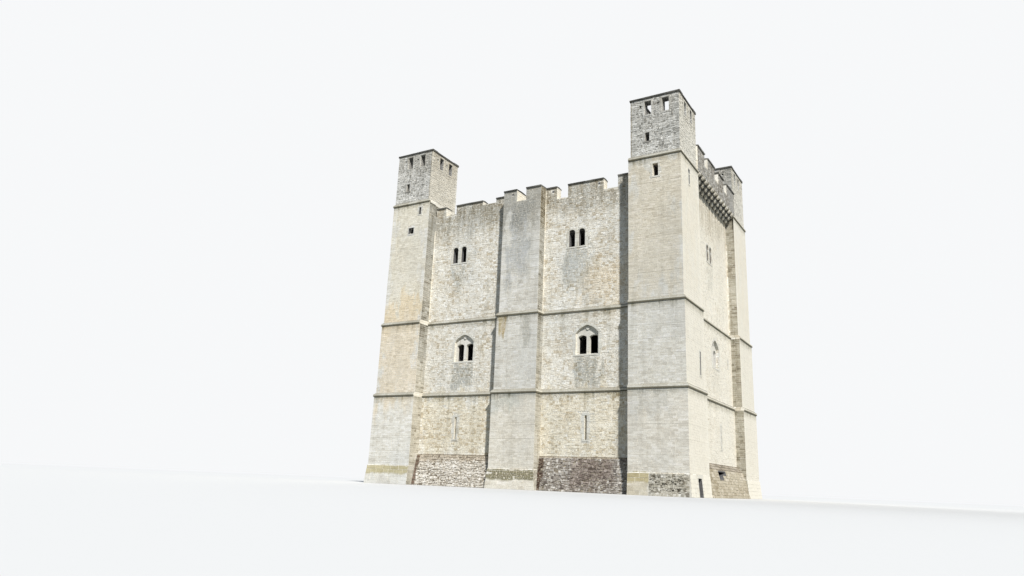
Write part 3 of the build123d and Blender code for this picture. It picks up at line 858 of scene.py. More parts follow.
@dataclass(frozen=True)
class StoneFinish:
    """A weathered stone finish with painted light and shade, read from each stone's tone and from its place.
    """

    name: str
    stones: tuple[Screen, ...]
    joint: Screen
    wash: tuple[Screen, float]
    streak: tuple[Screen, float]
    stains_and_shade: tuple[Stain, ...] = ()
    # How far faces looking along X are lightened, as painted sunlight.
    painted_sunlight: float = 0.0
    speck: float = 0.35
    bump: float = 0.5
    laid: bool = True
    course: tuple[float, float] = (0.16, 0.3)
    # How dark the hollows are painted, as painted shade.
    gloom: float = 0.0
    hollows: tuple[Hollow, ...] = ROOMS
    drips: bool = False
    mottle: float = 0.3
    fleck: Colour = (13.0, 13.0, 15.0)
    crown: tuple[float, float, float] = (0.0, 0.0, 0.0)
    lip_and_slope_shaded: bool = False

    def build(self) -> Material:
        """Makes the material.

        Returns:
            The new material.
        """
        material, t = new_material(self.name)
        place = t.node("ShaderNodeTexCoord").outputs["Object"]
        axes = t.split(place)
        if self.laid:
            tone = t.node("ShaderNodeAttribute", attribute_name="tone").outputs["Fac"]
            rise = t.node("ShaderNodeAttribute", attribute_name="rise").outputs["Fac"]
        else:
            tone, rise = self._drawn_courses(t, axes)
        fine = t.grain(place, 22.0, 4.0, 0.65)
        broad = t.grain(place, 1.1, 3.0, 0.55)
        shifted = t.math("ADD", tone, t.span(broad, 0.3, 0.7, -0.12, 0.12))
        colour = t.ramp(shifted, ramp_of(*self.stones))
        darker = t.ramp(fine, ((0.28, (0.72, 0.72, 0.72)), (0.62, (1.08, 1.08, 1.08))))
        colour = t.mix(0.8, colour, darker, "MULTIPLY")
        flecks = t.grain(t.stretched(place, self.fleck), 1.0, 2.0, 0.75)
        pitted = t.ramp(flecks, ((0.4, (0.46, 0.43, 0.38)), (0.52, (1.0, 1.0, 1.0))))
        colour = t.mix(self.mottle, colour, pitted, "MULTIPLY")
        wash = t.span(t.grain(t.stretched(place, (0.33, 0.33, 0.2)), 1.0, 5.0, 0.62), 0.44, 0.66)
        colour = t.mix(t.math("MULTIPLY", wash, self.wash[1]), colour, shade(*self.wash[0]))
        streaks = t.span(t.grain(t.stretched(place, (2.6, 2.6, 0.16)), 1.0, 4.0, 0.6), 0.5, 0.68)
        share = t.math("MULTIPLY", streaks, self.streak[1])
        colour = t.mix(share, colour, shade(*self.streak[0]), "MULTIPLY")
        for stain in self.stains_and_shade:
            colour = self._stained_or_shaded(t, colour, axes, place, stain)
        specks = t.span(t.grain(place, 60.0, 2.0, 0.5), 0.6, 0.72)
        joint = shade(*self.joint)
        colour = t.mix(t.math("MULTIPLY", specks, self.speck), colour, joint, "MULTIPLY")
        # Painted shade in the joints: the sides of each laid stone darken towards its back; on drawn courses
        # the same step draws the dark joint lines.
        shaded_hollow = t.span(rise, 0.15, 0.95, 1.0, 0.0)
        colour = t.mix(shaded_hollow, colour, t.mix(1.0, colour, joint, "MULTIPLY"))
        # Painted sunlight: faces that look along X, on both short sides, are mixed towards a pale colour as
        # if the sun fell on them.
        if self.painted_sunlight:
            sun_facing = t.span(t.math("ABSOLUTE", t.facing()[0]), 0.6, 0.9)
            colour = t.mix(t.math("MULTIPLY", sun_facing, self.painted_sunlight), colour, SUNLIT_PALE)
        if self.crown[2]:
            hung = t.span(t.grain(t.stretched(place, (3.2, 3.2, 0.2)), 1.0, 4.0, 0.65), 0.4, 0.6, 0.15, 1.0)
            hung = t.math("MULTIPLY", hung, t.span(axes[2], self.crown[0], self.crown[1]))
            colour = t.mix(t.math("MULTIPLY", hung, self.crown[2]), colour, CROWN_DIRT, "MULTIPLY")
        if self.drips:
            colour = t.mix(self._dripped(t, axes, streaks), colour, STRING_DAMP, "MULTIPLY")
        # String lips and slopes: partly dirt, partly painted shade.
        if self.lip_and_slope_shaded:
            colour = t.mix(self._lip_and_slope_shade(t, axes), colour, LIP_AND_SLOPE_DARK, "MULTIPLY")
        # Painted shade: the hollows are mixed towards a near-black colour.
        if self.gloom:
            colour = t.mix(t.math("MULTIPLY", self._shaded_inside(t, axes), self.gloom), colour, HOLLOW_SHADE)
        height = t.math("MULTIPLY", fine, 0.8)
        if not self.laid:
            height = t.math("ADD", height, rise)
        t.surface(colour, t.span(fine, 0.3, 0.7, 0.78, 0.97), height, (self.bump, 0.02), 0.25)
        return material

    @staticmethod
    def _dripped(t: Tree, axes: object, streaks: object) -> object:
        """Marks the damp that fades out under each string.

        Args:
            t: the tree.
            axes: the separated coordinates.
            streaks: the streaks that break it up.

        Returns:
            The mask.
        """
        mask = 0.0
        for level in (FIRST_STRING, SECOND_STRING, TOP_STRING):
            below = level - STRING_DROP
            fade = t.span(axes[2], below - 0.5, below)
            band = t.math("MULTIPLY", fade, t.math("LESS_THAN", axes[2], below + 0.01))
            mask = t.math("ADD", mask, band)
        return t.math("MULTIPLY", mask, t.span(streaks, 0.0, 1.0, 0.45, 0.95))

    @staticmethod
    def _lip_and_slope_shade(t: Tree, axes: object) -> object:
        """Marks the lower half of each string's lip, darker partly as dirt and partly as painted shade, and
        its upward-facing slope, darkened as painted shade.

        Args:
            t: the tree.
            axes: the separated coordinates.

        Returns:
            The mask.
        """
        # Painted shade on upward-facing slopes, against the light they catch.
        mask = t.math("MULTIPLY", t.span(t.facing()[2], 0.2, 0.5), 0.5)
        # The lower half of each lip, partly dirt and partly painted shade.
        for level in (FIRST_STRING, SECOND_STRING, TOP_STRING):
            lip = t.span(axes[2], level - 0.075, level - 0.045, 0.95, 0.0)
            lip = t.math("MULTIPLY", lip, t.math("GREATER_THAN", axes[2], level - 0.25))
            mask = t.math("MAXIMUM", mask, lip)
        return mask

    def _shaded_inside(self, t: Tree, axes: object) -> object:
        """Marks where shade is painted: the rooms, the deep parts of reveals and other hollows.

        Args:
            t: the tree.
            axes: the separated coordinates.

        Returns:
            The mask, 1 inside.
        """
        total = 0.0
        for shaded_hollow in self.hollows:
            mask = 1.0
            for place, low, high in zip(axes, shaded_hollow.low, shaded_hollow.high):
                mask = t.math("MULTIPLY", mask, t.span(place, low, low + shaded_hollow.edge))
                mask = t.math("MULTIPLY", mask, t.span(place, high - shaded_hollow.edge, high, 1.0, 0.0))
            total = t.math("MAXIMUM", total, mask)
        return total

    def _drawn_courses(self, t: Tree, axes: object) -> tuple[object, object]:
        """Draws courses of stones on a solid that carries no laid ones.

        Args:
            t: the tree.
            axes: the separated coordinates.

        Returns:
            A tone for each stone, and its rise from the joints.
        """
        x, y, z = (t.math("ABSOLUTE", part) for part in t.facing())
        place = t.either(t.math("GREATER_THAN", x, y), axes[0], axes[1])
        upright = t.either(t.math("GREATER_THAN", z, 0.8), axes[2], axes[1])
        height, length = self.course
        row = t.math("DIVIDE", upright, height)
        number = t.math("FLOOR", row)
        shift = t.node("ShaderNodeTexWhiteNoise", noise_dimensions="1D")
        t.link(number, shift.inputs["W"])
        along = t.math("ADD", t.math("DIVIDE", place, length), t.math("MULTIPLY", shift.outputs[0], 7.0))
        stone = t.node("ShaderNodeTexWhiteNoise", noise_dimensions="2D")
        pair = t.node("ShaderNodeCombineXYZ")
        t.link(t.math("FLOOR", along), pair.inputs[0])
        t.link(number, pair.inputs[1])
        t.link(pair.outputs[0], stone.inputs["Vector"])
        edge_row = t.math("MULTIPLY", t.math("PINGPONG", row, 0.5), height)
        edge_along = t.math("MULTIPLY", t.math("PINGPONG", along, 0.5), length)
        rise = t.span(t.math("MINIMUM", edge_row, edge_along), 0.004, 0.02)
        return t.span(stone.outputs[0], 0.0, 1.0, 0.15, 0.85), rise

    @staticmethod
    def _stained_or_shaded(t: Tree, colour: object, axes: object, place: object, stain: Stain) -> object:
        """Lays one darker patch over the colour; the one under the corbels is painted shade, the rest
        weathering.

        Args:
            t: the tree.
            colour: the colour below.
            axes: the separated coordinates.
            place: the coordinate socket.
            stain: the patch.

        Returns:
            The stained colour.
        """
        across, out, sign = {
            Side.FRONT: (axes[0], axes[1], -1.0),
            Side.RIGHT: (axes[1], axes[0], 1.0),
            Side.REAR: (axes[0], axes[1], 1.0),
            Side.LEFT: (axes[1], axes[0], -1.0),
        }[stain.side]
        torn = t.grain(t.stretched(place, (1.4, 1.4, 0.5)), 1.0, 4.0, 0.65)
        ragged = t.span(torn, 0.3, 0.7, -stain.edge, stain.edge)
        run = t.math("ADD", across, ragged)
        fall = t.math("ADD", axes[2], t.math("MULTIPLY", ragged, 1.2))
        mask = t.span(run, stain.start - stain.edge * 0.5, stain.start + stain.edge * 0.5)
        for bound in (
            t.span(run, stain.end - stain.edge * 0.5, stain.end + stain.edge * 0.5, 1.0, 0.0),
            t.span(fall, stain.low - stain.edge, stain.low + stain.edge),
            t.span(fall, stain.high - stain.edge * 0.4, stain.high + stain.edge * 0.4, 1.0, 0.0),
            t.math("GREATER_THAN", t.math("MULTIPLY", out, sign), 4.5),
        ):
            mask = t.math("MULTIPLY", mask, bound)
        return t.mix(t.math("MULTIPLY", mask, stain.strength), colour, shade(*stain.colour), "MULTIPLY")


class StoneSetter:
    """The Geometry Nodes tree that turns stone points into stones."""

    def __init__(self) -> None:
        """Builds the tree once, with named inputs."""
        tree = bpy.data.node_groups.new("Laid stones", "GeometryNodeTree")
        face = tree.interface
        self.sockets = {}
        for name, kind, way in (
            ("Geometry", "NodeSocketGeometry", "INPUT"),
            ("Taper", "NodeSocketFloat", "INPUT"),
            ("Corner jitter", "NodeSocketFloat", "INPUT"),
            ("Seed", "NodeSocketInt", "INPUT"),
            ("Finish", "NodeSocketMaterial", "INPUT"),
            ("Geometry", "NodeSocketGeometry", "OUTPUT"),
        ):
            self.sockets[name, way] = face.new_socket(name, in_out=way, socket_type=kind).identifier
        t = Tree(tree)
        given = t.node("NodeGroupInput").outputs
        block = t.node("GeometryNodeMeshCube")
        spot = t.split(t.node("GeometryNodeInputPosition").outputs[0])
        fore = t.math("LESS_THAN", spot[1], 0.0)
        pinch = t.math("MULTIPLY", fore, given["Taper"])
        shrink = t.math("SUBTRACT", 1.0, pinch)
        narrow = t.math("SUBTRACT", 1.0, t.math("MULTIPLY", pinch, 0.5))
        shape = t.node("ShaderNodeCombineXYZ")
        t.link(t.math("MULTIPLY", spot[0], narrow), shape.inputs[0])
        t.link(spot[1], shape.inputs[1])
        t.link(t.math("MULTIPLY", spot[2], shrink), shape.inputs[2])
        taper = t.node("GeometryNodeSetPosition")
        t.link(block.outputs[0], taper.inputs["Geometry"])
        t.link(shape.outputs[0], taper.inputs["Position"])
        rise = t.node("GeometryNodeStoreNamedAttribute", data_type="FLOAT", domain="POINT")
        t.link(taper.outputs[0], rise.inputs["Geometry"])
        rise.inputs["Name"].default_value = "rise"
        t.link(fore, rise.inputs["Value"])
        stand = t.node("GeometryNodeInstanceOnPoints")
        t.link(given["Geometry"], stand.inputs["Points"])
        t.link(rise.outputs[0], stand.inputs["Instance"])
        for name, target in (("turn", "Rotation"), ("size", "Scale")):
            read = t.node("GeometryNodeInputNamedAttribute", data_type="FLOAT_VECTOR")
            read.inputs["Name"].default_value = name
            t.link(read.outputs["Attribute"], stand.inputs[target])
        real = t.node("GeometryNodeRealizeInstances")
        t.link(stand.outputs[0], real.inputs[0])
        chance = t.node("FunctionNodeRandomValue", data_type="FLOAT_VECTOR")
        t.link(given["Seed"], chance.inputs["Seed"])
        chance.inputs[0].default_value = (-1.0, -1.0, -1.0)
        chance.inputs[1].default_value = (1.0, 1.0, 1.0)
        scaled = t.node("ShaderNodeVectorMath", operation="SCALE")
        t.link(chance.outputs[0], scaled.inputs[0])
        t.link(given["Corner jitter"], scaled.inputs["Scale"])
        rough = t.node("GeometryNodeSetPosition")
        t.link(real.outputs[0], rough.inputs["Geometry"])
        t.link(scaled.outputs[0], rough.inputs["Offset"])
        finish = t.node("GeometryNodeSetMaterial")
        t.link(rough.outputs[0], finish.inputs["Geometry"])
        t.link(given["Finish"], finish.inputs["Material"])
        t.link(finish.outputs[0], t.node("NodeGroupOutput").inputs[0])
        self.tree = tree

    def realise(
        self,
        name: str,
        stones: StoneField,
        finish: Material,
        slot: str,
        taper: float = 0.14,
        jitter: float = 0.006,
        seed: int = 7,
    ) -> bpy.types.Object:
        """Turns a field of stones into one plain mesh that rides with the keep.

        Args:
            name: of the new piece.
            stones: the laid stones.
            finish: their material.
            slot: not used.
            taper: how much smaller a stone's front is than its back.
            jitter: how far a corner may stray, in metres.
            seed: of the strays.

        Returns:
            The finished piece.
        """
        cloud = bpy.data.meshes.new(name + "_points")
        cloud.vertices.add(len(stones.places))
        cloud.vertices.foreach_set("co", [value for place in stones.places for value in place])
        for key, values in (("size", stones.sizes), ("turn", stones.turns)):
            made = cloud.attributes.new(key, "FLOAT_VECTOR", "POINT")
            made.data.foreach_set("vector", [value for row in values for value in row])
        cloud.attributes.new("tone", "FLOAT", "POINT").data.foreach_set("value", stones.tones)
        holder = bpy.data.objects.new(name + "_points", cloud)
        bpy.context.scene.collection.objects.link(holder)
        modifier = holder.modifiers.new("Stones", "NODES")
        modifier.node_group = self.tree
        modifier[self.sockets["Taper", "INPUT"]] = taper
        modifier[self.sockets["Corner jitter", "INPUT"]] = jitter
        modifier[self.sockets["Seed", "INPUT"]] = seed
        modifier[self.sockets["Finish", "INPUT"]] = finish
        graph = bpy.context.evaluated_depsgraph_get()
        mesh = bpy.data.meshes.new_from_object(holder.evaluated_get(graph))
        bpy.data.objects.remove(holder)
        mesh.name = name
        for key in ("size", "turn"):
            if key in mesh.attributes:
                mesh.attributes.remove(mesh.attributes[key])
        return settle(name, mesh, finish)


def settle(name: str, mesh: bpy.types.Mesh, finish: Material) -> bpy.types.Object:
    """Makes a piece of the keep from a mesh, kept inside the box of the solids.

    Args:
        name: of the new piece.
        mesh: its mesh, in place.
        finish: its material.

    Returns:
        The new object.
    """
    low, high = CAD_BOX
    for vertex in mesh.vertices:
        for axis in range(3):
            vertex.co[axis] = min(max(vertex.co[axis], low[axis]), high[axis])
    if not mesh.materials:
        mesh.materials.append(finish)
    piece = bpy.data.objects.new(name, mesh)
    bpy.context.scene.collection.objects.link(piece)
    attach(piece, "root")
    log.info("%s: %d faces", name, len(mesh.polygons))
    return piece


@dataclass
class Carving:
    """Dressed stones drawn one by one, joined into one mesh."""

    points: list[Vector] = field(default_factory=list)
    faces: list[tuple[int, ...]] = field(default_factory=list)
    tones: list[float] = field(default_factory=list)
    rises: list[float] = field(default_factory=list)
    seed: int = 3

    def __post_init__(self) -> None:
        """Starts the source of chance."""
        self.draw = random.Random(self.seed)

    def prism(self, side: Side, outline: Section, back: float, front: float, inset: float) -> None:
        """Adds one dressed stone on a wall face.

        Args:
            side: the way the face looks.
            outline: its corners as (across, height), anticlockwise as seen from outside.
            back: distance of its hidden back.
            front: distance of its dressed face.
            inset: how far the dressed face's edges lie inside the outline.
        """
        tone = min(1.0, max(0.0, self.draw.gauss(0.5, 0.2)))
        middle = Vector((sum(p[0] for p in outline), sum(p[1] for p in outline))) / len(outline)
        first = len(self.points)
        count = len(outline)
        front += self.draw.uniform(-0.004, 0.004)
        for out, rise in ((back, 0.0), (front, 1.0)):
            for across, height in outline:
                corner = Vector((across, height))
                if rise:
                    way = middle - corner
                    corner += way * min(0.4, inset / max(way.length, 1e-6))
                self.points.append(side.at(corner[0], out, corner[1]))
                self.tones.append(tone)
                self.rises.append(rise)
        self._close(first, count)

    def _close(self, first: int, count: int) -> None:
        """Adds the faces of a stone: its two ends and the sides between them.

        Args:
            first: the number of its first corner.
            count: the corners of each end.
        """
        self.faces.append(tuple(reversed(range(first, first + count))))
        self.faces.append(tuple(range(first + count, first + 2 * count)))
        for index in range(count):
            after = (index + 1) % count
            self.faces.append((first + index, first + after, first + count + after, first + count + index))

    def bar(
        self,
        side: Side,
        ends: tuple[float, float],
        section: Section,
        wear: float,
        mitre: tuple[float | None, float | None],
    ) -> None:
        """Adds one stone of a string or coping that runs along a wall.

        Args:
            side: the way the wall looks.
            ends: where the stone starts and ends.
            section: its corners as (out, height).
            wear: how far a corner may stray.
            mitre: for each end, the distance out at which a mitred corner meets that end, or None.
        """
        tone = min(1.0, max(0.0, self.draw.gauss(0.5, 0.22)))
        first = len(self.points)
        count = len(section)
        for place, base, way in zip(ends, mitre, (-1, 1)):
            for out, height in section:
                stray = [self.draw.uniform(-wear, wear) for _ in range(3)]
                across = place if base is None else place + way * (out - base)
                self.points.append(side.at(across + stray[0] * 0.4, out + stray[1], height + stray[2]))
                self.tones.append(tone)
                self.rises.append(1.0)
        self._close(first, count)

    def run(
        self,
        side: Side,
        ends: tuple[float, float],
        section: Section,
        length: tuple[float, float],
        wear: float,
        mitre: tuple[float | None, float | None] = (None, None),
        joint: float = 0.008,
    ) -> None:
        """Adds a whole run of such stones.

        Args:
            side: the way the wall looks.
            ends: where the run starts and ends.
            section: corners as (out, height).
            length: shortest and longest stone.
            wear: how far a corner may stray.
            mitre: as for bar, at the two ends of the run.
            joint: the gap between two stones.
        """
        cursor, right = ends
        while cursor < right - NEAR:
            step = self.draw.uniform(*length)
            end = right if right - cursor - step < length[0] * 0.6 else cursor + step
            corners = (mitre[0] if cursor == ends[0] else None, mitre[1] if end == right else None)
            self.bar(side, (cursor + joint / 2, end - joint / 2), section, wear, corners)
            cursor = end

    def piece(self, name: str, finish: Material, slot: str) -> bpy.types.Object:
        """Joins the stones into one piece.

        Args:
            name: of the piece.
            finish: its material.
            slot: not used.

        Returns:
            The new object.
        """
        mesh = bpy.data.meshes.new(name)
        mesh.from_pydata([tuple(point) for point in self.points], [], self.faces)
        for key, values in (("tone", self.tones), ("rise", self.rises)):
            mesh.attributes.new(key, "FLOAT", "POINT").data.foreach_set("value", values)
        work = bmesh.new()
        work.from_mesh(mesh)
        bmesh.ops.recalc_face_normals(work, faces=work.faces)
        work.to_mesh(mesh)
        work.free()
        return settle(name, mesh, finish)


LONG_NOTCHES = ((-6.58, 0.88, 0.69), (-3.5, 1.06, 0.35), (2.17, 0.79, 0.88), (5.42, 0.95, 0.8))
SHORT_NOTCHES = ((-2.88, 0.7, 0.8), (-0.6, 0.95, 0.8), (1.6, 0.8, 0.8))
BUTTRESS_NOTCHES = ((-0.4, 0.69, 0.87),)


def gaps(notches: Sequence[tuple[float, float, float]], top: float) -> tuple[Opening, ...]:
    """Turns parapet notches, as start, width and depth, into openings."""
    return tuple(
        Opening(start + width / 2, width / 2, top - depth, top + 0.3) for start, width, depth in notches
    )


def merlons(
    notches: Sequence[tuple[float, float, float]], start: float, end: float
) -> list[tuple[float, float]]:
    """Gives the lengths of a parapet between its notches."""
    edges = [start] + [edge for left, width, _ in notches for edge in (left, left + width)] + [end]
    return list(zip(edges[0::2], edges[1::2]))


def twins(*centres: float) -> tuple[Opening, ...]:
    """Gives the twin round-headed lights of the upper storey."""
    return tuple(
        Opening(centre + way * 0.34, 0.215, 14.66, 15.79, Head.ROUND, 0.125, 0.28)
        for centre in centres
        for way in (-1, 1)
    )


def hall_window(centre: float) -> Opening:
    """Gives one pointed hall window."""
    return Opening(centre, 0.735, HALL_SILL, 9.61, Head.POINTED, 0.17, 0.3)


def slit(
    centre: float, sill: float, top: float, half: float = 0.075, jamb: float = 0.12, block: float = 0.28
) -> Opening:
    """Gives a narrow slit or a small window with dressed jambs."""
    return Opening(centre, half, sill, top, jamb=jamb, block=block)


def ground_slit(centre: float) -> Opening:
    """Gives one tall slit of the ground storey."""
    return slit(centre, 2.9, 4.28, jamb=0.15, block=0.34)


def merlon_hole(centre: float) -> Opening:
    """Gives one small square hole in a merlon."""
    return Opening(centre, 0.065, 18.52, 18.65)


MERLON_HOLES = (merlon_hole(1.9), merlon_hole(5.12))
BUTTRESS_HOLES = (merlon_hole(-0.7),)
FRONT_OPENINGS: dict[str, tuple[Opening, ...]] = {
    "ground": (ground_slit(-4.6), ground_slit(4.48)),
    "hall": tuple(hall_window(centre) for centre in HALL_CENTRES),
    "upper": twins(*TWIN_CENTRES),
    "notches": gaps(LONG_NOTCHES, LONG_TOP) + MERLON_HOLES,
    "buttress": gaps(BUTTRESS_NOTCHES, LONG_TOP) + BUTTRESS_HOLES,
}
SIDE_OPENINGS: dict[str, tuple[Opening, ...]] = {
    "ground": (ground_slit(0.7),),
    "hall": (hall_window(SIDE_HALL_CENTRE), slit(3.2, 8.28, 8.8)),
    "upper": twins(SIDE_TWIN_CENTRE),
    "notches": gaps(SHORT_NOTCHES, SHORT_TOP),
    "breach": (Opening(-1.35, 0.45, 1.05, 1.48), Opening(-0.525, 0.375, 1.3, 1.48)),
}
RIGHT_HAND_FRONT = (slit(9.08, 17.99, 18.78, half=0.17, jamb=0.13, block=0.26),)
LEFT_HAND_FRONT = (slit(-8.2, 18.37, 18.87), slit(-8.87, 16.99, 17.42, half=0.215, jamb=0.08, block=0.43))
KEY_SLIT = (slit(-6.1, 17.75, 18.42, block=0.22), slit(-6.1, 18.42, 18.68, half=0.13, jamb=0.09, block=0.26))
NEAR_SIDE_HALL = (slit(-5.1, 6.6, 7.92, block=0.33),)
OUTLET = slit(-6.15, 0.0, 0.97, half=0.3, jamb=0.2, block=0.32)
ROBBED = Opening(9.69, 1.09, 0.0, 1.13)


def slit_hollows(margin: float = 0.015) -> tuple[Hollow, ...]:
    """Gives the insides of the slits and of the small holes, where shade is painted.

    Args:
        margin: how far a hollow reaches past its opening.

    Returns:
        The hollows of the front and the right side, with their twins.
    """
    boxes = []
    for openings, reach in ((KEY_SLIT, (10.4, 10.64)), (NEAR_SIDE_HALL, (10.4, 10.73))):
        boxes += [(reach, *opening.spans(margin)) for opening in openings]
    for openings, reach in (
        (LEFT_HAND_FRONT, (-7.7, -7.4)),
        (MERLON_HOLES, (-6.7, -6.5)),
        (BUTTRESS_HOLES, (-7.4, -7.2)),
    ):
        for opening in openings:
            across, heights = opening.spans(margin)
            boxes.append((across, reach, heights))
    return half_turned(boxes, 0.008)


CREAM = ((208, 197, 176), (236, 231, 219), (246, 243, 234), (255, 254, 249))
PALE = ((224, 220, 210), (236, 233, 224), (242, 240, 232), (250, 248, 243))
WEATHERED = ((150, 148, 142), (200, 199, 194), (224, 223, 218), (246, 245, 241))

# Each wear is the taper of a stone's front, and how far its corners stray.
RUBBLE_WEAR = (0.08, 0.008)
ASHLAR_WEAR = (0.05, 0.003)
PARAPET_WEAR = (0.1, 0.01)
STAGE_WEAR = (0.1, 0.009)
FOOT_WEAR = (0.12, 0.018)
BLOCK_WEAR = (0.02, 0.004)
ROBBED_WEAR = (0.08, 0.009)

RUBBLE = Bond((0.11, 0.16), (0.12, 0.28), 0.008, 0.007, (0.26, 0.42), 0.03, 0.004, 11, 0.008, wave=0.1)
ASHLAR = Bond((0.12, 0.155), (0.17, 0.36), 0.005, 0.005, (0.34, 0.6), 0.006, 0.0, 23, 0.003)
WORN = Bond((0.085, 0.125), (0.09, 0.19), 0.01, 0.007, (0.24, 0.4), 0.06, 0.006, 31, 0.008, wave=0.1)
FOOT_RUBBLE = Bond((0.09, 0.14), (0.09, 0.19), 0.022, 0.012, (0.2, 0.4), 0.14, 0.04, 47, 0.012, wave=0.14)
FOOT_BLOCKS = Bond((0.13, 0.19), (0.2, 0.42), 0.005, 0.003, (0.2, 0.4), 0.02, 0.0, 61, 0.002, wave=0.05)
ROBBED_FILL = Bond((0.08, 0.12), (0.09, 0.18), 0.012, 0.004, (0.2, 0.4), 0.12, 0.05, 77, 0.006, 0.14, 0.12)
PLINTH_BOND = Bond((0.2, 0.27), (0.35, 0.7), 0.008, 0.006, (0.4, 0.7), 0.004, 0.0, 53)


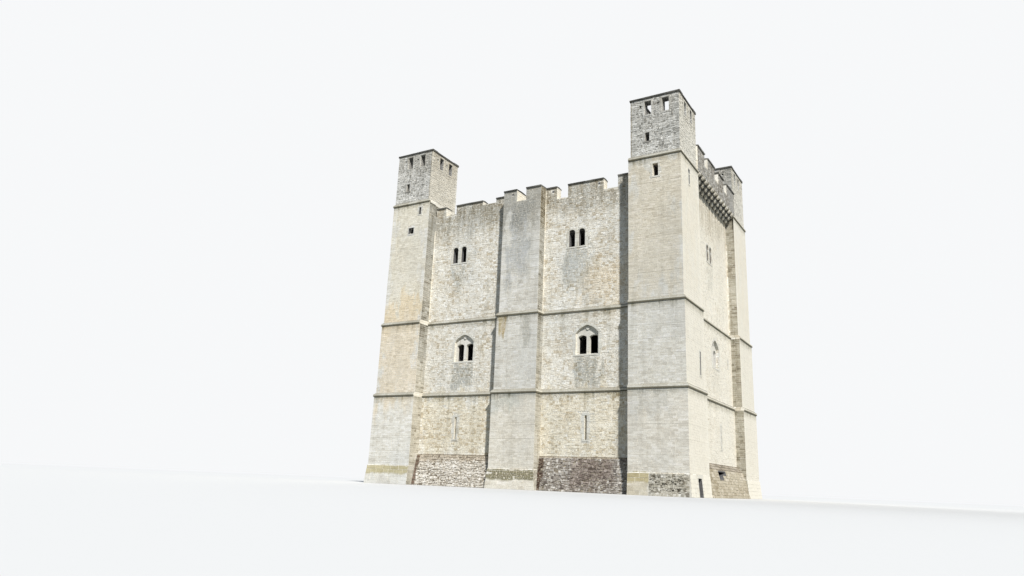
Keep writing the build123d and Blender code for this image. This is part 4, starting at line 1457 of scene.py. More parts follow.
class Finishes:
    """Every material of the keep, made once."""

    def __init__(self) -> None:
        """Makes the materials."""
        self.bay = StoneFinish(
            "coursed_rubble", CREAM, joint=(214, 208, 194), wash=((200, 202, 200), 0.3),
            streak=((200, 200, 195), 0.3), stains_and_shade=bay_stains_and_shade(), painted_sunlight=0.75, drips=True, mottle=0.5,
            crown=(15.0, 18.9, 0.76),
        ).build()
        self.shaft = StoneFinish(
            "ashlar", PALE, joint=(208, 202, 188), wash=((206, 208, 207), 0.3),
            streak=((214, 212, 205), 0.25), stains_and_shade=shaft_stains(), painted_sunlight=0.75, speck=0.25, bump=0.4,
            drips=True, mottle=0.26, fleck=(2.8, 2.8, 13.0),
        ).build()
        self.turned = StoneFinish(
            "return_stone", ((150, 142, 124), (190, 183, 166), (206, 200, 184), (222, 217, 204)),
            joint=(178, 170, 154), wash=((180, 178, 168), 0.4), streak=((184, 174, 154), 0.5),
            stains_and_shade=return_stains(), speck=0.4, drips=True,
        ).build()
        self.stage = StoneFinish(
            "weathered_rubble", WEATHERED, joint=(168, 166, 158), wash=((180, 182, 178), 0.35),
            streak=((190, 190, 184), 0.4), stains_and_shade=stage_stains(), painted_sunlight=0.62, speck=0.6, bump=0.8,
            mottle=0.5, crown=(20.5, 23.1, 0.5),
        ).build()
        self.parapet = StoneFinish(
            "parapet_rubble", ((134, 126, 114), (168, 163, 154), (186, 183, 176), (212, 210, 205)),
            joint=(150, 144, 132), wash=((176, 176, 172), 0.4), streak=((170, 160, 144), 0.5), speck=0.6,
            bump=0.8,
        ).build()
        self.string = StoneFinish(
            "string_stone", ((196, 190, 174), (214, 210, 197), (222, 219, 207), (234, 232, 223)),
            joint=(180, 174, 158), wash=((194, 191, 180), 0.4), streak=((200, 196, 184), 0.4), painted_sunlight=0.5,
            speck=0.4, bump=0.6, lip_and_slope_shaded=True,
        ).build()
        # Dark grey stone, its darkness partly painted shade for the shadow line under each coping.
        self.coping = StoneFinish(
            "coping_stone", ((58, 58, 54), (88, 87, 82), (108, 106, 100), (150, 148, 140)),
            joint=(60, 60, 56), wash=((84, 84, 80), 0.5), streak=((150, 150, 144), 0.4), speck=0.6,
            bump=0.9,
        ).build()
        self.dressed = StoneFinish(
            "window_stone", ((204, 200, 188), (222, 219, 209), (229, 227, 218), (240, 239, 232)),
            joint=(176, 172, 160), wash=((206, 207, 203), 0.3), streak=((206, 206, 200), 0.3), painted_sunlight=0.4,
            speck=0.25, bump=0.4, gloom=0.9, hollows=slit_hollows(),
        ).build()
        self.boards = build_boards()
        self._build_feet()
        self._build_solids()

    def _build_feet(self) -> None:
        """Makes the finishes of the rubble at the foot of the walls."""
        self.foot = StoneFinish(
            "foundation_rubble_dark", ((98, 88, 82), (170, 162, 153), (198, 193, 185), (230, 226, 219)),
            joint=(128, 116, 106), wash=((176, 173, 170), 0.2), streak=((184, 178, 170), 0.3),
            stains_and_shade=foot_stains(), speck=0.6, bump=1.0, mottle=0.62,
        ).build()
        self.near_foot = StoneFinish(
            "foundation_rubble_pale", ((206, 199, 186), (230, 224, 213), (239, 234, 225), (247, 244, 237)),
            joint=(180, 171, 156), wash=((204, 200, 192), 0.3), streak=((206, 200, 188), 0.3),
            stains_and_shade=foot_stains(), speck=0.5, bump=0.9, mottle=0.45,
        ).build()
        self.side_foot = StoneFinish(
            "foundation_rubble_tan", ((166, 154, 130), (190, 179, 156), (201, 191, 169), (219, 210, 192)),
            joint=(240, 234, 216), wash=((196, 186, 166), 0.35), streak=((200, 190, 170), 0.3), speck=0.3,
            mottle=0.25,
        ).build()
        self.robbed = StoneFinish(
            "foundation_rubble_grey", ((132, 124, 109), (194, 189, 174), (213, 208, 195), (233, 229, 219)),
            joint=(190, 182, 166), wash=((206, 208, 206), 0.4), streak=((200, 198, 190), 0.4), speck=0.5,
            bump=0.8, mottle=0.55,
        ).build()

    def _build_solids(self) -> None:
        """Makes the finishes of the solids that show between and behind the laid stones."""
        drawn = {"laid": False, "bump": 0.6}
        self.core = StoneFinish(
            "wall_core", CREAM, joint=(220, 215, 203), wash=((200, 202, 200), 0.35),
            streak=((196, 196, 190), 0.35), painted_sunlight=0.6, gloom=0.93, hollows=ROOMS + slit_hollows(), **drawn,
        ).build()
        self.stage_core = StoneFinish(
            "weathered_core", WEATHERED, joint=(150, 148, 140), wash=((166, 168, 162), 0.35),
            streak=((180, 180, 174), 0.4), painted_sunlight=0.4, speck=0.5, gloom=0.55, hollows=stage_hollows(),
            **drawn,
        ).build()
        self.foot_core = StoneFinish(
            "foundation_core", ((124, 114, 100), (160, 150, 133), (176, 166, 149), (196, 188, 173)),
            joint=(130, 121, 106), wash=((156, 148, 134), 0.4), streak=((166, 160, 150), 0.4), speck=0.5,
            gloom=0.9, hollows=BREACH, **drawn,
        ).build()
        self.corbel = StoneFinish(
            "corbel_stone", ((210, 203, 188), (236, 230, 216), (244, 239, 227), (252, 249, 240)),
            joint=(170, 160, 142), wash=((206, 200, 186), 0.3), streak=((206, 200, 186), 0.3), speck=0.5,
            course=(4.0, 4.0), gloom=0.8, hollows=SLOTS, **drawn,
        ).build()
        self.tracery = StoneFinish(
            "tracery_stone", ((214, 211, 200), (228, 225, 216), (234, 231, 223), (242, 240, 234)),
            joint=(200, 197, 186), wash=((212, 212, 206), 0.25), streak=((212, 210, 202), 0.25), painted_sunlight=0.3,
            speck=0.2, course=(4.0, 4.0), **drawn,
        ).build()
        self.flags = StoneFinish(
            "terrace_flags", ((120, 118, 108), (150, 147, 136), (164, 161, 150), (186, 183, 173)),
            joint=(104, 102, 92), wash=((136, 137, 126), 0.5), streak=((170, 170, 160), 0.3), speck=0.5,
            course=(0.55, 0.8), gloom=0.9, **drawn,
        ).build()


def stage_hollows() -> tuple[Hollow, ...]:
    """Gives the insides of the four top stages, with the reveals of their openings, where shade is painted.
    """
    inset = 0.05
    boxes = []
    for way in (-1, 1):
        xs = (STAGE_X[0] + inset, STAGE_X[1] - inset)
        ys = tuple(way * y for y in (STAGE_Y[0] + inset, STAGE_Y[1] - inset))
        boxes.append((xs, ys, (STAGE_FOOT, STAGE_TOP + 1.0)))
    return half_turned(boxes, 0.06)


def ramp_of(*colours: Screen) -> tuple[tuple[float, Colour], ...]:
    """Spreads screen colours evenly from dark to light stones."""
    return tuple((index / (len(colours) - 1), shade(*colour)) for index, colour in enumerate(colours))


def patches(sides: Sequence[Side], rows: Sequence[tuple]) -> tuple[Stain, ...]:
    """Puts darker patches on some sides: weathering, and in one place painted shade.

    Args:
        sides: the sides of the keep.
        rows: start, end, low, high, colour, strength and edge of each patch.

    Returns:
        The stains.
    """
    return tuple(Stain(side, *row) for side in sides for row in rows)


def bay_stains_and_shade() -> tuple[Stain, ...]:
    """Gives the weathering of the rubble walls, and the painted shade under the corbels of the short sides.
    """
    left_hall, right_hall = HALL_CENTRES
    left_twin, right_twin = TWIN_CENTRES
    return patches(
        LONG_SIDES,
        (
            (right_hall - 0.7, right_hall + 0.85, 6.0, HALL_SILL, (196, 199, 199), 0.8, 0.3),
            (left_hall - 0.7, left_hall + 0.85, 6.2, HALL_SILL - 0.05, (196, 199, 199), 0.8, 0.3),
            (right_twin - 0.8, right_twin + 0.9, 12.3, 14.8, (202, 207, 210), 0.7, 0.7),
            (left_twin - 0.8, left_twin + 0.9, 13.4, 14.7, (202, 207, 210), 0.7, 0.7),
            (-LONG_SPAN, LONG_SPAN, 16.9, SHORT_FOOT, (212, 213, 212), 0.8, 0.7),
            (3.9, LONG_SPAN, 11.0, 13.4, (254, 244, 228), 0.7, 0.8),
            (-LONG_SPAN, LONG_SPAN, 1.5, 5.6, (255, 250, 238), 0.9, 0.8),
        ),
    ) + patches(
        SHORT_SIDES,
        (
            (-0.9, 0.5, 12.6, 14.6, (190, 192, 190), 0.7, 0.4),
            (-0.4, 0.9, 6.4, 7.8, (200, 200, 196), 0.6, 0.4),
            (-SHORT_SPAN, SHORT_SPAN, 17.2, SHORT_FOOT, (214, 208, 196), 0.7, 0.6),
            # Painted shade under the corbel table.
            (-4.3, 4.3, CORBEL_FOOT, 19.6, (186, 182, 171), 0.95, 0.08),
        ),
    )


def return_stains() -> tuple[Stain, ...]:
    """Gives the greyer and browner upper parts of the masses' returns."""
    edge = (-1.0, SHORT_FOOT, (220, 220, 218), 0.9, 0.08)
    return (
        *patches(
            LONG_SIDES,
            (
                (-HALF_LENGTH, HALF_LENGTH, 8.0, SHORT_FOOT, (220, 223, 228), 0.9, 1.6),
                (-1.7, 1.7, 16.2, SHORT_FOOT, (206, 194, 170), 0.9, 0.6),
            ),
        ),
        Stain(Side.RIGHT, 3.8, 4.6, *edge),
        Stain(Side.LEFT, -4.6, -3.8, *edge),
    )


def foot_stains() -> tuple[Stain, ...]:
    """Gives the dark ends and tops of the sloping rubble."""
    return patches(
        LONG_SIDES,
        (
            (1.55, 1.95, -1.0, 1.9, (122, 98, 84), 0.95, 0.1),
            (-7.5, -7.1, -1.0, 1.9, (122, 98, 84), 0.9, 0.1),
            (-7.5, -1.5, 1.5, 2.2, (214, 204, 190), 0.8, 0.15),
            (3.6, 6.2, 0.2, 1.9, (196, 184, 180), 0.85, 0.5),
        ),
    )


def stage_stains() -> tuple[Stain, ...]:
    """Gives the browner inner faces of the top stages."""
    dull = (19.0, 24.0, (222, 216, 204), 0.95, 0.03)
    return patches(LONG_SIDES, [(start, start + 0.42, *dull) for start in (-7.62, 7.2)])


def shaft_stains() -> tuple[Stain, ...]:
    """Gives the weathering of the dressed turrets and buttresses."""
    buttress = (
        (-1.38, -1.12, 9.2, 10.5, (214, 198, 158), 0.9, 0.2),
        (-1.08, -0.8, 9.0, 10.5, (206, 184, 136), 0.85, 0.2),
        (-1.5, 0.3, 4.5, 5.6, (232, 237, 240), 0.9, 0.4),
        (-1.8, 1.8, 5.4, 19.2, (240, 240, 240), 1.0, 0.05),
        (-1.8, 1.8, -1.0, 5.4, (250, 247, 242), 1.0, 0.05),
        (0.4, 0.85, 8.4, 10.5, (212, 212, 208), 0.8, 0.25),
        (-1.1, 0.45, 12.6, 17.4, (214, 217, 221), 0.8, 0.6),
        (-1.6, 1.6, 16.4, 19.2, (203, 202, 198), 0.95, 0.7),
        (-1.8, 1.8, 0.54, 1.1, (158, 155, 132), 0.95, 0.07),
    )
    right_hand = (
        (7.0, 10.9, 5.4, 19.3, (238, 238, 237), 1.0, 0.05),
        (7.0, 10.9, -1.0, 5.4, (246, 244, 241), 1.0, 0.05),
        (7.1, 8.6, 0.62, 1.14, (212, 202, 164), 0.9, 0.08),
        (7.1, 8.6, -1.0, 0.6, (238, 233, 220), 0.9, 0.15),
        (7.3, 10.7, 11.2, 19.0, (255, 248, 236), 0.9, 0.8),
        (7.4, 10.0, 4.2, 5.6, (232, 234, 236), 0.8, 0.4),
    )
    left_hand = (
        (-10.9, -7.1, 0.62, 1.14, (212, 202, 164), 0.9, 0.08),
        (-10.7, -7.4, 10.6, 19.2, (255, 250, 238), 0.8, 0.8),
        (-10.7, -7.4, 5.0, 12.0, (255, 242, 222), 0.8, 1.0),
    )
    plinth = ((-7.4, -6.6, -1.0, 1.1, (214, 219, 222), 0.7, 0.12),)
    return patches(LONG_SIDES, buttress + right_hand + left_hand) + patches(SHORT_SIDES, plinth)


def build_boards() -> Material:
    """Makes the finish of the timber floors: boards along X with grain.

    Returns:
        The new material.
    """
    material, t = new_material("floor_boards")
    place = t.node("ShaderNodeTexCoord").outputs["Object"]
    board = t.math("DIVIDE", t.split(place)[1], 0.22)
    number = t.node("ShaderNodeTexWhiteNoise", noise_dimensions="1D")
    t.link(t.math("FLOOR", board), number.inputs["W"])
    grain = t.grain(t.stretched(place, (1.5, 18.0, 18.0)), 1.0, 5.0, 0.6)
    tone = t.math("ADD", t.math("MULTIPLY", number.outputs[0], 0.5), t.math("MULTIPLY", grain, 0.5))
    colour = t.ramp(tone, ((0.2, shade(70, 54, 40)), (0.8, shade(124, 100, 76))))
    gap = t.span(t.math("PINGPONG", board, 0.5), 0.0, 0.05)
    rough = t.span(grain, 0.3, 0.7, 0.6, 0.85)
    height = t.math("ADD", gap, t.math("MULTIPLY", grain, 0.4))
    t.surface(t.mix(gap, shade(24, 20, 16), colour), rough, height, (0.5, 0.01), 0.5)
    return material


@dataclass
class Curtains:
    """The walls between the turrets, with their feet and parapets."""

    finishes: Finishes
    setter: StoneSetter
    overlap: float = 0.07
    long_foot: tuple[float, float, float] = (0.6, 0.2312, 1.86)
    short_foot: tuple[float, float, float] = (0.88, 0.2722, 1.58)

    def bays(self, side: Side) -> list[tuple[Face, int]]:
        """Lists the rubble faces of one side.

        Args:
            side: the side of the keep.

        Returns:
            The faces with their seeds.
        """
        long_side = side.long
        span = LONG_SPAN if long_side else SHORT_SPAN
        out = LONG_FACE if long_side else SHORT_FACE
        holes = FRONT_OPENINGS if long_side else SIDE_OPENINGS
        top = LONG_WALL_TOP if long_side else SHORT_FOOT
        upper = holes["upper"] + (FRONT_OPENINGS["notches"] if long_side else ())
        inner = BUTTRESS_HALF - self.overlap
        spans = ((-span, -inner), (inner, span)) if long_side else ((-span, span),)
        faces = []
        for start, end in spans:
            for number, (low, high, openings) in enumerate(
                (
                    (BAY_FOOT, FIRST_STRING - STRING_DROP, holes["ground"]),
                    (FIRST_STRING + STRING_SLOPE, SECOND_STRING - STRING_DROP, holes["hall"]),
                    (SECOND_STRING + STRING_SLOPE, top, upper),
                )
            ):
                face = Face(side, start, end, low, high, out, Outline.STOREYED, openings=openings)
                faces.append((face, Seed.BAY + side.value + number * 7 + int(start)))
        return faces

    def build(self) -> None:
        """Lays all four sides."""
        for side in Side:
            stones = StoneField()
            for face, seed in self.bays(side):
                stones.lay(face, RUBBLE, seed)
            name = f"{side.word}_bay_stones"
            self.setter.realise(name, stones, self.finishes.bay, "coursed_rubble", *RUBBLE_WEAR)
            self.foot(side)
            self.parapet(side)

    def foot(self, side: Side) -> None:
        """Lays the sloping rubble at the foot of one side.

        Args:
            side: the side of the keep.
        """
        long_side = side.long
        reach, batter, top = self.long_foot if long_side else self.short_foot
        out = (LONG_FACE if long_side else SHORT_FACE) + reach
        inner = BUTTRESS_HALF + PLINTH_SPREAD - self.overlap
        spans = ((-LONG_SPAN, -inner), (inner, LONG_SPAN)) if long_side else ((-SHORT_SPAN, SHORT_SPAN),)
        openings = () if long_side else SIDE_OPENINGS["breach"]
        for number, (start, end) in enumerate(spans):
            stones = StoneField()
            face = Face(side, start, end, 0.0, top, out, batter=batter, openings=openings)
            stones.lay(face, FOOT_RUBBLE if long_side else FOOT_BLOCKS, Seed.FOOT + side.value + number)
            finish = self.finishes.side_foot
            if long_side:
                finish = self.finishes.foot if number == 1 else self.finishes.near_foot
            name = f"{side.word}_foot_stones_{number}"
            wear = FOOT_WEAR if long_side else BLOCK_WEAR
            self.setter.realise(name, stones, finish, "foundation_rubble", *wear)

    def parapet(self, side: Side) -> None:
        """Lays the inner face of one parapet, and the outer face where it stands on corbels.

        Args:
            side: the side of the keep.
        """
        stones = StoneField()
        if side.long:
            holes = FRONT_OPENINGS["notches"] + FRONT_OPENINGS["buttress"]
            end, foot, top, depth = LONG_SPAN, TERRACE, LONG_WALL_TOP, LONG_PARAPET_BACK
        else:
            holes, end, depth = SIDE_OPENINGS["notches"], SHORT_SPAN + NECK_SET, SHORT_PARAPET_BACK
            foot, top = SHORT_FOOT, SHORT_TOP - COPING_THICK
            outer = Face(side, -end, end, foot, top, SHORT_PARAPET_FACE, openings=holes)
            stones.lay(outer, WORN, Seed.OUTER_PARAPET)
            walk = Face(side.back, -SHORT_SPAN, SHORT_SPAN, TERRACE, SHORT_FOOT, -LONG_SPAN)
            stones.lay(walk, WORN, Seed.WALK_BACK)
        mirrored = tuple(replace(hole, centre=-hole.centre) for hole in holes)
        inner = Face(side.back, -end, end, foot, top, -depth, openings=mirrored)
        stones.lay(inner, WORN, Seed.INNER_PARAPET)
        name = f"{side.word}_parapet_stones"
        self.setter.realise(name, stones, self.finishes.parapet, "coursed_rubble", *PARAPET_WEAR)


def buttress_plan(side: Side, outline: Outline) -> Plan:
    """Gives the plan of the buttress on one long side."""
    y0, y1 = (-BUTTRESS_FACE, -LONG_FACE) if side is Side.FRONT else (LONG_FACE, BUTTRESS_FACE)
    return Plan(-BUTTRESS_HALF, BUTTRESS_HALF, y0, y1, outline, (side, Side.LEFT, Side.RIGHT))


@dataclass
class Buttresses:
    """The broad buttresses in the middle of the long sides."""

    finishes: Finishes
    setter: StoneSetter
    rough_band: tuple[float, float] = (0.6, 1.05)

    def build(self) -> None:
        """Lays both buttresses."""
        for side in LONG_SIDES:
            plan = buttress_plan(side, Outline.PLINTHED)
            stones, returns = StoneField(), StoneField()
            rough_low, rough_high = self.rough_band
            for number, (low, high) in enumerate(storeys(LONG_WALL_TOP)):
                holes = FRONT_OPENINGS["buttress"] if number == 3 else ()
                bands = ((low, high, ASHLAR),)
                if number == 0:
                    bands = (
                        (low, rough_low, PLINTH_BOND),
                        (rough_low, rough_high, FOOT_RUBBLE),
                        (rough_high, high, ASHLAR),
                    )
                for way in plan.growing:
                    for foot, top, bond in bands:
                        face = plan.face(way, foot, top, openings=holes if way is side else ())
                        target = stones if way is side else returns
                        target.lay(face, bond, Seed.BUTTRESS + way.value + number * 3)
            name = side.word + "_buttress"
            self.setter.realise(f"{name}_stones", stones, self.finishes.shaft, "ashlar", *ASHLAR_WEAR)
            name += "_return_stones"
            self.setter.realise(name, returns, self.finishes.turned, "ashlar", *ASHLAR_WEAR)


def storeys(top: float) -> tuple[tuple[float, float], ...]:
    """Gives the foot and top of each storey of a plinthed mass, between its strings."""
    return (
        (0.0, PLINTH_TOP - PLINTH_BEVEL),
        (PLINTH_TOP + 0.01, FIRST_STRING - STRING_DROP),
        (FIRST_STRING + STRING_SLOPE, SECOND_STRING - STRING_DROP),
        (SECOND_STRING + STRING_SLOPE, top),
    )


@dataclass
class Turret:
    """One corner turret: shaft, neck and open-topped stage."""

    finishes: Finishes
    setter: StoneSetter
    right: bool
    front: bool
    neck: float = 18.3
    lip: float = 0.06
    coping_height: float = 0.13
    coping_fall: float = 0.045
    wall: float = 0.56
    slot_offsets: tuple[float, float] = (-0.42, 0.68)
    putlog_offsets: tuple[float, float] = (-0.89, 0.22)
    loop_offset: float = -0.47
    slot: tuple[float, float, float] = (0.215, 22.08, 22.98)
    putlog: tuple[float, float, float] = (0.065, 22.64, 22.77)
    loop: tuple[float, float, float] = (0.135, 20.33, 20.9)

    @property
    def name(self) -> str:
        """The name of its corner."""
        return f"{'front' if self.front else 'rear'}_{'right' if self.right else 'left'}"

    @property
    def outward(self) -> tuple[Side, Side]:
        """Its two outer sides, the long one first."""
        return (Side.FRONT if self.front else Side.REAR, Side.RIGHT if self.right else Side.LEFT)

    def plan(
        self,
        xs: tuple[float, float],
        ys: tuple[float, float],
        outline: Outline = Outline.PLAIN,
        growing: tuple[Side, ...] = (),
    ) -> Plan:
        """Places a plan, given for the corner at +X and +Y, at this corner.

        Args:
            xs: from the middle outwards along X.
            ys: from the middle outwards along Y.
            outline: how its outer sides step.
            growing: the sides that step.

        Returns:
            The plan.
        """
        x = xs if self.right else (-xs[1], -xs[0])
        y = (-ys[1], -ys[0]) if self.front else ys
        return Plan(x[0], x[1], y[0], y[1], outline, growing)

    def across(self, side: Side, offsets: Sequence[float]) -> list[float]:
        """Turns offsets along the stage's walls into places across a face.

        Args:
            side: the way the face looks.
            offsets: along X or Y from the middle of the stage, as drawn on the front.

        Returns:
            The middles, from left to right as seen from that side.
        """
        turned = 1 if self.front else -1
        middle = sum(STAGE_Y) / -2 * turned
        if side.long:
            middle = sum(STAGE_X) / 2 * (1 if self.right else -1)
        places = [middle + turned * offset for offset in offsets]
        return [-place for place in places] if side in (Side.REAR, Side.LEFT) else places

    def stage_openings(self, side: Side) -> tuple[Opening, ...]:
        """Lists the openings of the top stage on one of its sides.

        Args:
            side: the way the wall looks.

        Returns:
            The openings.
        """
        slots, putlogs = (self.across(side, row) for row in (self.slot_offsets, self.putlog_offsets))
        holes = [Opening(place, *self.slot, jamb=0.1, block=0.3) for place in slots]
        holes += [Opening(place, *self.putlog) for place in putlogs]
        if side is self.outward[0]:
            place = self.across(side, (self.loop_offset,))[0]
            holes.append(Opening(place, *self.loop, jamb=0.12, block=0.29))
        return tuple(holes)

    def shaft_openings(self, side: Side, number: int) -> tuple[Opening, ...]:
        """Lists the openings of the shaft on one of its outer sides.

        Args:
            side: the way the wall looks.
            number: the storey, from 0 at the plinth.

        Returns:
            The openings.
        """
        right_hand = self.right == self.front
        if side.long:
            if number == 0 and self.front and self.right:
                return (ROBBED,)
            if number == 3:
                return RIGHT_HAND_FRONT if right_hand else LEFT_HAND_FRONT
            return ()
        if not right_hand:
            return ()
        if number == 0 and self.front:
            return (OUTLET,)
        return {2: NEAR_SIDE_HALL, 3: KEY_SLIT}.get(number, ())

    def build(self) -> None:
        """Lays the shaft and the stage, and sets the coping."""
        self.build_shaft()
        self.build_stage()
        self.build_coping()
        if self.front and self.right:
            stones = StoneField()
            start, end = ROBBED.spans(0.0)[0]
            face = Face(Side.FRONT, start, end, ROBBED.sill, ROBBED.top, HALF_WIDTH, Outline.PLINTHED)
            stones.lay(face, ROBBED_FILL, Seed.ROBBED)
            name = "robbed_facing_rubble"
            self.setter.realise(name, stones, self.finishes.robbed, "foundation_rubble", *ROBBED_WEAR)

    def build_shaft(self) -> None:
        """Lays the shaft's outer faces, its returns and its neck over the wall walks."""
        outer = self.outward
        xs, ys = (LONG_SPAN, HALF_LENGTH), (SHORT_SPAN, HALF_WIDTH)
        shaft = self.plan(xs, ys, Outline.PLINTHED, outer)
        neck_xs, neck_ys = (LONG_SPAN + NECK_SET, HALF_LENGTH), (SHORT_SPAN + NECK_SET, HALF_WIDTH)
        neck = self.plan(neck_xs, neck_ys, Outline.PLINTHED, outer)
        stones, returns = StoneField(), StoneField()
        dressings = Carving(seed=Seed.SHAFT_WINDOW)
        inner = (outer[1].back, outer[0].back)
        for number, (low, high) in enumerate(storeys(TOP_STRING - STRING_DROP)):
            bond = PLINTH_BOND if number == 0 else ASHLAR
            for way in outer:
                openings = self.shaft_openings(way, number)
                face = shaft.face(way, low, high, openings=openings)
                stones.lay(face, bond, Seed.SHAFT + way.value + number)
                for opening in openings:
                    if opening.jamb:
                        surround(dressings, way, face.surface(opening.top), opening)
            if number == 0:
                low = 0.0
            roof = self.neck if number == 3 else high
            for way in inner:
                edge = SHORT_FACE if way.long else LONG_FACE
                clip = self.clipped(shaft, way, edge)
                face = shaft.face(way, low, roof, clip=clip)
                returns.lay(face, bond, Seed.RETURN + way.value + number)
        for way in inner:
            upper = neck.face(way, self.neck + 0.02, TOP_STRING - STRING_DROP)
            returns.lay(upper, ASHLAR, Seed.NECK + way.value)
            returns.lay(shaft.face(way, TERRACE, self.neck), ASHLAR, Seed.NECK_FOOT + way.value)
        name = f"{self.name}_shaft"
        self.setter.realise(f"{name}_stones", stones, self.finishes.shaft, "ashlar", *ASHLAR_WEAR)
        self.setter.realise(f"{name}_returns", returns, self.finishes.turned, "ashlar", *ASHLAR_WEAR)
        if dressings.points:
            dressings.piece(f"{name}_dressings", self.finishes.dressed, "window_stone")

    @staticmethod
    def clipped(plan: Plan, side: Side, edge: float) -> tuple[float, float]:
        """Gives the part of an inner side that stands forward of the curtain.

        Args:
            plan: the shaft's plan.
            side: the inner side.
            edge: the curtain's distance from the middle.

        Returns:
            The left and right ends.
        """
        whole = plan.face(side, 0.0, 1.0)
        if abs(whole.start) > abs(whole.end):
            return whole.start - 1.0, -edge
        return edge, whole.end + 1.0

    def build_stage(self) -> None:
        """Lays the four outer walls of the top stage."""
        plan = self.plan(STAGE_X, STAGE_Y)
        stones = StoneField()
        dressings = Carving(seed=Seed.STAGE_WINDOW)
        for way in Side:
            openings = self.stage_openings(way)
            face = plan.face(way, STAGE_FOOT, STAGE_TOP, openings=openings)
            stones.lay(face, WORN, Seed.STAGE + way.value)
            for opening in openings:
                if opening.jamb:
                    surround(dressings, way, face.out, opening)
        name, finish = f"{self.name}_stage", self.finishes.stage
        dressings.piece(f"{name}_dressings", finish, "weathered_rubble")
        self.setter.realise(f"{name}_stones", stones, finish, "weathered_rubble", *STAGE_WEAR)

    def build_coping(self) -> None:
        """Sets the slabs of the coping ring in place of the plain ring."""
        plan = self.plan(STAGE_X, STAGE_Y)
        slabs = Carving(seed=Seed.RING_COPING)
        foot, top, fall = STAGE_TOP, STAGE_TOP + self.coping_height, self.coping_fall
        for way in Side:
            face = plan.face(way, foot, top)
            reach = face.out + self.lip
            inside = face.out - self.wall - self.lip
            section = (
                (inside, foot),
                (reach, foot),
                (reach, top - fall),
                (reach - fall, top),
                (inside + fall, top),
                (inside, top - fall),
            )
            trim = -self.lip if way.long else self.wall + self.lip + 0.006
            slabs.run(way, (face.start + trim, face.end - trim), section, (0.6, 0.95), 0.004)
        piece = slabs.piece(f"{self.name}_coping_slabs", self.finishes.coping, "coping_stone")
        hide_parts(f"{self.name}_turret_coping")


@dataclass
class Dressings:
    """The dressed stones round the windows and slits of the curtains."""

    finishes: Finishes

    def build(self) -> None:
        """Sets the dressings of every side."""
        for side in Side:
            long_side = side.long
            carving = Carving(seed=Seed.WINDOW)
            holes = FRONT_OPENINGS if long_side else SIDE_OPENINGS
            out = LONG_FACE if long_side else SHORT_FACE
            for storey, step in (("ground", SET_OFF), ("hall", 0.0), ("upper", -SET_OFF)):
                for opening in holes[storey]:
                    surround(carving, side, out + step, opening)
            carving.piece(f"{side.word}_window_dressings", self.finishes.dressed, "window_stone")


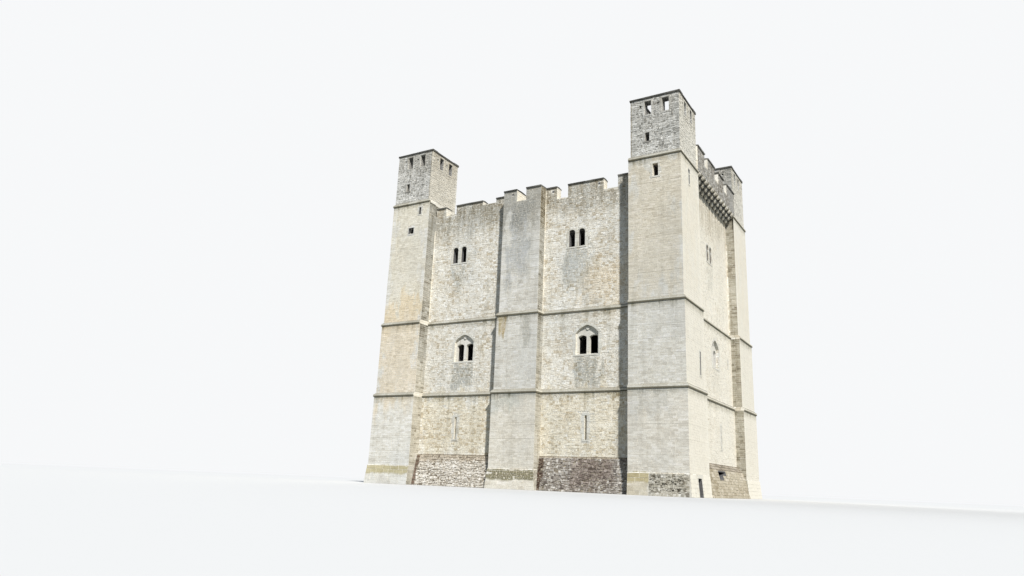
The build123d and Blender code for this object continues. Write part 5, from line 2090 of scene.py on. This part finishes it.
@dataclass
class Strings:
    """The string courses and the coping slabs of the parapets."""

    finishes: Finishes
    proud: float = 0.008
    lip: float = 0.045
    drop: float = 0.13
    slope: float = 0.11

    def section(self, out: float, height: float, above: float) -> Section:
        """Draws a string stone just proud of the solid one.

        Args:
            out: the wall face below it.
            height: the top of its lip.
            above: the wall face over it.

        Returns:
            The corners as (out, height).
        """
        reach, lift = out + self.lip + self.proud, height + self.proud
        return (
            (above - 0.03, height - self.drop - self.proud),
            (reach, height - self.drop - self.proud),
            (reach, lift),
            (above + self.proud, lift + self.slope),
            (above - 0.03, lift + self.slope),
        )

    def build(self) -> None:
        """Sets the strings round the masses, and the copings of the parapets."""
        levels = ((FIRST_STRING, SET_OFF, 0.0), (SECOND_STRING, 0.0, -SET_OFF))
        stones, heads = Carving(seed=Seed.STRING), Carving(seed=Seed.TOP_STRING)
        for way in LONG_SIDES:
            front = way is Side.FRONT
            buttress = buttress_plan(way, Outline.PLAIN)
            for height, below, above in levels:
                self.ring(stones, buttress, height, below, above)
            for right in (True, False):
                sides = (way, Side.RIGHT if right else Side.LEFT)
                x0, x1 = (LONG_SPAN, HALF_LENGTH) if right else (-HALF_LENGTH, -LONG_SPAN)
                depth = (-HALF_WIDTH, -SHORT_SPAN) if front else (SHORT_SPAN, HALF_WIDTH)
                shaft = Plan(x0, x1, *depth, Outline.PLAIN, sides)
                for height, below, above in levels:
                    self.ring(stones, shaft, height, below, above)
                self.ring(heads, shaft, TOP_STRING, -SET_OFF, -NECK_SET)
        for side in Side:
            long_side = side.long
            out, span = (LONG_FACE, LONG_SPAN) if long_side else (SHORT_FACE, SHORT_SPAN)
            spans = ((-span, -BUTTRESS_HALF), (BUTTRESS_HALF, span)) if long_side else ((-span, span),)
            for height, below, above in levels:
                for ends in spans:
                    stones.run(side, ends, self.section(out + below, height, out + above), (0.5, 0.95), 0.003)
        stones.piece("string_stones", self.finishes.string, "ashlar")
        heads.piece("top_string_stones", self.finishes.string, "ashlar")
        self.build_copings()

    def ring(self, stones: Carving, plan: Plan, height: float, below: float, above: float) -> None:
        """Runs one string round the free sides of a mass.

        Args:
            stones: the collection of stones.
            plan: the mass.
            height: the top of the string's lip.
            below: how far the wall below stands out.
            above: how far the wall over it stands out.
        """
        for side in plan.growing:
            face = plan.face(side, 0.0, 1.0)
            mitre = tuple(face.out if grows else None for grows in face.grows)
            section = self.section(face.out + below, height, face.out + above)
            stones.run(side, (face.start, face.end), section, (0.5, 0.95), 0.003, mitre)

    def build_copings(self) -> None:
        """Sets the slabs on every merlon."""
        for side in Side:
            slabs = Carving(seed=Seed.COPING)
            if side.long:
                half = BUTTRESS_HALF - SET_OFF
                face = LONG_FACE - SET_OFF
                for start, end in merlons(LONG_NOTCHES, -LONG_SPAN, LONG_SPAN):
                    for ends in ((start, min(end, -half)), (max(start, half), end)):
                        if ends[1] - ends[0] > 0.05:
                            self.slab(slabs, side, ends, (face, LONG_PARAPET_BACK), LONG_TOP)
                for ends in merlons(BUTTRESS_NOTCHES, -half, half):
                    self.slab(slabs, side, ends, (BUTTRESS_FACE - SET_OFF, LONG_PARAPET_BACK), LONG_TOP)
            else:
                end = SHORT_SPAN + NECK_SET
                for ends in merlons(SHORT_NOTCHES, -end, end):
                    self.slab(slabs, side, ends, (SHORT_PARAPET_FACE, SHORT_PARAPET_BACK), SHORT_TOP)
            slabs.piece(f"{side.word}_coping_slabs", self.finishes.coping, "coping_stone")

    def slab(
        self,
        slabs: Carving,
        side: Side,
        ends: tuple[float, float],
        depth: tuple[float, float],
        top: float,
    ) -> None:
        """Sets the slabs of one merlon just proud of the solid coping.

        Args:
            slabs: the collection of slabs.
            side: the way the parapet looks.
            ends: where the merlon starts and ends.
            depth: its outer and inner face.
            top: the ridge of the coping.
        """
        proud = self.proud
        outer, inner = depth[0] + COPING_LIP + proud, depth[1] - COPING_LIP - proud
        low, fall = top - COPING_THICK - proud, top - COPING_FALL + proud
        ridge = ((outer + inner) / 2, top + proud)
        section = ((inner, low), (outer, low), (outer, fall), ridge, (inner, fall))
        slabs.run(side, (ends[0] - proud, ends[1] + proud), section, (0.45, 0.8), 0.004)


def surround(
    carving: Carving,
    side: Side,
    out: float,
    opening: Opening,
    proud: float = 0.012,
    back: float = 0.03,
    bevel: float = 0.006,
    sill_depth: float = 0.1,
) -> None:
    """Sets the jambs, sill and head of one opening.

    Args:
        carving: the collection of stones.
        side: the way the wall looks.
        out: the wall's distance from the middle.
        opening: the opening.
        proud: how far the stones stand forward of the solid wall.
        back: how far they reach into it.
        bevel: how far a stone's face lies inside its outline.
        sill_depth: the height of the sill stone.
    """
    front, rear = out + proud, out - back
    low = opening.sill
    while low < opening.spring - 0.02:
        high = min(low + opening.block, opening.spring)
        width = opening.jamb_at(low + 0.01)
        for way in (-1, 1):
            near = opening.centre + way * opening.half
            far = near + way * width
            outline = box_outline(min(near, far), max(near, far), low + 0.003, high - 0.003)
            carving.prism(side, outline, rear, front, bevel)
        low = high
    left, right = opening.spans(opening.jamb)[0]
    if opening.sill > sill_depth:
        sill = box_outline(left, right, opening.sill - sill_depth, opening.sill - 0.004)
        carving.prism(side, sill, rear, front + 0.01, 0.01)
    if opening.head is Head.FLAT:
        lintel = box_outline(left, right, opening.top, opening.top + opening.jamb)
        carving.prism(side, lintel, rear, front, bevel)
        return
    for outline in ring_outlines(opening):
        carving.prism(side, outline, rear, front, bevel)


def box_outline(left: float, right: float, low: float, high: float) -> list[tuple[float, float]]:
    """Gives a rectangle's corners, anticlockwise."""
    return [(left, low), (right, low), (right, high), (left, high)]


def ring_outlines(opening: Opening, count: int = 5) -> list[list[tuple[float, float]]]:
    """Gives the outlines of the arch stones of a round or pointed head.

    Args:
        opening: the opening.
        count: stones on each side of the crown.

    Returns:
        The outlines, anticlockwise as seen from outside.
    """
    across, up, inner = opening.arc
    outer = inner + opening.jamb
    rise = opening.top - opening.spring
    inner_reach = math.atan2(-up, opening.half - across), math.atan2(rise - up, -across)
    outer_reach = math.asin(-up / outer), math.acos(-across / outer)
    stones = []
    for way in (-1, 1):
        for index in range(count):
            corners = []
            for radius, (first, last) in ((inner, inner_reach), (outer, outer_reach)):
                low = first + (last - first) * (index + 0.02) / count
                high = first + (last - first) * (index + 0.98) / count
                angles = (low, (low + high) / 2, high) if radius == inner else (high, (low + high) / 2, low)
                corners += [
                    (
                        opening.centre + way * (across + math.cos(angle) * radius),
                        opening.spring + up + math.sin(angle) * radius,
                    )
                    for angle in angles
                ]
            stones.append(corners if way < 0 else list(reversed(corners)))
    return stones


@dataclass
class Solids:
    """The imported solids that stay, each with its finish."""

    finishes: Finishes

    def dress(self) -> None:
        """Gives every solid its material."""
        for name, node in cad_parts.items():
            node.data.materials.clear()
            node.data.materials.append(self.finish_of(name))

    def finish_of(self, name: str) -> Material:
        """Chooses the finish of one solid.

        Args:
            name: of the solid.

        Returns:
            Its material.
        """
        for part, finish in (
            ("hall_windows", self.finishes.tracery),
            ("top_stage", self.finishes.stage_core),
            ("batter", self.finishes.foot_core),
            ("corbel", self.finishes.corbel),
            ("right_parapet", self.finishes.corbel),
            ("left_parapet", self.finishes.corbel),
            ("floor", self.finishes.boards),
            ("terrace", self.finishes.flags),
        ):
            if part in name:
                return finish
        return self.finishes.core


@dataclass
class Studio:
    """The floor, the light and the camera."""

    eye: tuple[float, float, float] = (22.449, -45.125, 0.290)
    yaw: float = 0.546
    pitch: float = 0.2639
    roll: float = 0.0421
    lens: float = 25.5
    sun_strength: float = 4.56
    sun_height: float = 0.75
    sky: float = 0.232
    floor_half: float = 400.0

    def build(self) -> None:
        """Sets the stage round the keep."""
        self.build_floor()
        self.build_lights()
        self.build_camera()
        bpy.context.scene.view_settings.view_transform = "Standard"

    def build_floor(self) -> None:
        """Lays the plain pale floor."""
        material, t = new_material("plain_floor")
        shader = t.node("ShaderNodeBsdfDiffuse")
        t.link(t.mix(t.seen(), (0.24, 0.25, 0.23), (0.66, 0.66, 0.65)), shader.inputs["Color"])
        t.link(shader.outputs[0], t.node("ShaderNodeOutputMaterial").inputs[0])
        mesh = bpy.data.meshes.new("floor")
        half = self.floor_half
        corners = [(-half, -half, 0), (half, -half, 0), (half, half, 0), (-half, half, 0)]
        mesh.from_pydata(corners, [], [(0, 1, 2, 3)])
        mesh.materials.append(material)
        floor = bpy.data.objects.new("plain_floor", mesh)
        bpy.context.scene.collection.objects.link(floor)

    def build_lights(self) -> None:
        """Hangs a broad key light, a weak one behind, and an even sky."""
        for name, strength, turn, height, spread, colour in (
            ("key", self.sun_strength, 46, self.sun_height, 3, (1.0, 0.98, 0.945)),
            ("back", 1.2, 226, 0.6, 25, (0.95, 0.97, 1.0)),
        ):
            lamp = bpy.data.lights.new(name, "SUN")
            lamp.energy = strength
            lamp.angle = math.radians(spread)
            lamp.color = colour
            holder = bpy.data.objects.new(name, lamp)
            way, flat = math.radians(turn), math.cos(height)
            towards = Vector((math.sin(way) * flat, -math.cos(way) * flat, math.sin(height)))
            holder.rotation_euler = towards.to_track_quat("Z", "Y").to_euler()
            bpy.context.scene.collection.objects.link(holder)
        world = bpy.data.worlds.new("even_sky")
        world.use_nodes = True
        world.node_tree.nodes.clear()
        t = Tree(world.node_tree)
        sky = t.node("ShaderNodeBackground")
        tint = tuple(self.sky * share for share in (0.74, 0.92, 1.2))
        t.link(t.mix(t.seen(), tint, (0.93, 0.94, 0.95)), sky.inputs["Color"])
        t.link(sky.outputs[0], t.node("ShaderNodeOutputWorld").inputs[0])
        bpy.context.scene.world = world

    def build_camera(self) -> None:
        """Sets the camera at the photograph's viewing angle."""
        flat = math.cos(self.pitch)
        sight = Vector((-math.sin(self.yaw) * flat, math.cos(self.yaw) * flat, math.sin(self.pitch)))
        level = Vector((math.cos(self.yaw), math.sin(self.yaw), 0.0))
        up = level.cross(sight)
        right = math.cos(self.roll) * level + math.sin(self.roll) * up
        above = math.cos(self.roll) * up - math.sin(self.roll) * level
        camera = bpy.data.cameras.new("view")
        camera.lens = self.lens
        camera.sensor_width = 36.0
        camera.clip_end = 2000.0
        holder = bpy.data.objects.new("view", camera)
        matrix = Matrix((right, above, -sight)).transposed().to_4x4()
        matrix.translation = Vector(self.eye)
        holder.matrix_world = matrix
        bpy.context.scene.collection.objects.link(holder)
        bpy.context.scene.camera = holder


def main() -> None:
    """Builds the looks in order."""
    finishes = Finishes()
    setter = StoneSetter()
    Studio().build()
    Solids(finishes).dress()
    Curtains(finishes, setter).build()
    Buttresses(finishes, setter).build()
    for front in (True, False):
        for right in (True, False):
            Turret(finishes, setter, right, front).build()
    Dressings(finishes).build()
    Strings(finishes).build()


if __name__ == "__main__":
    main()
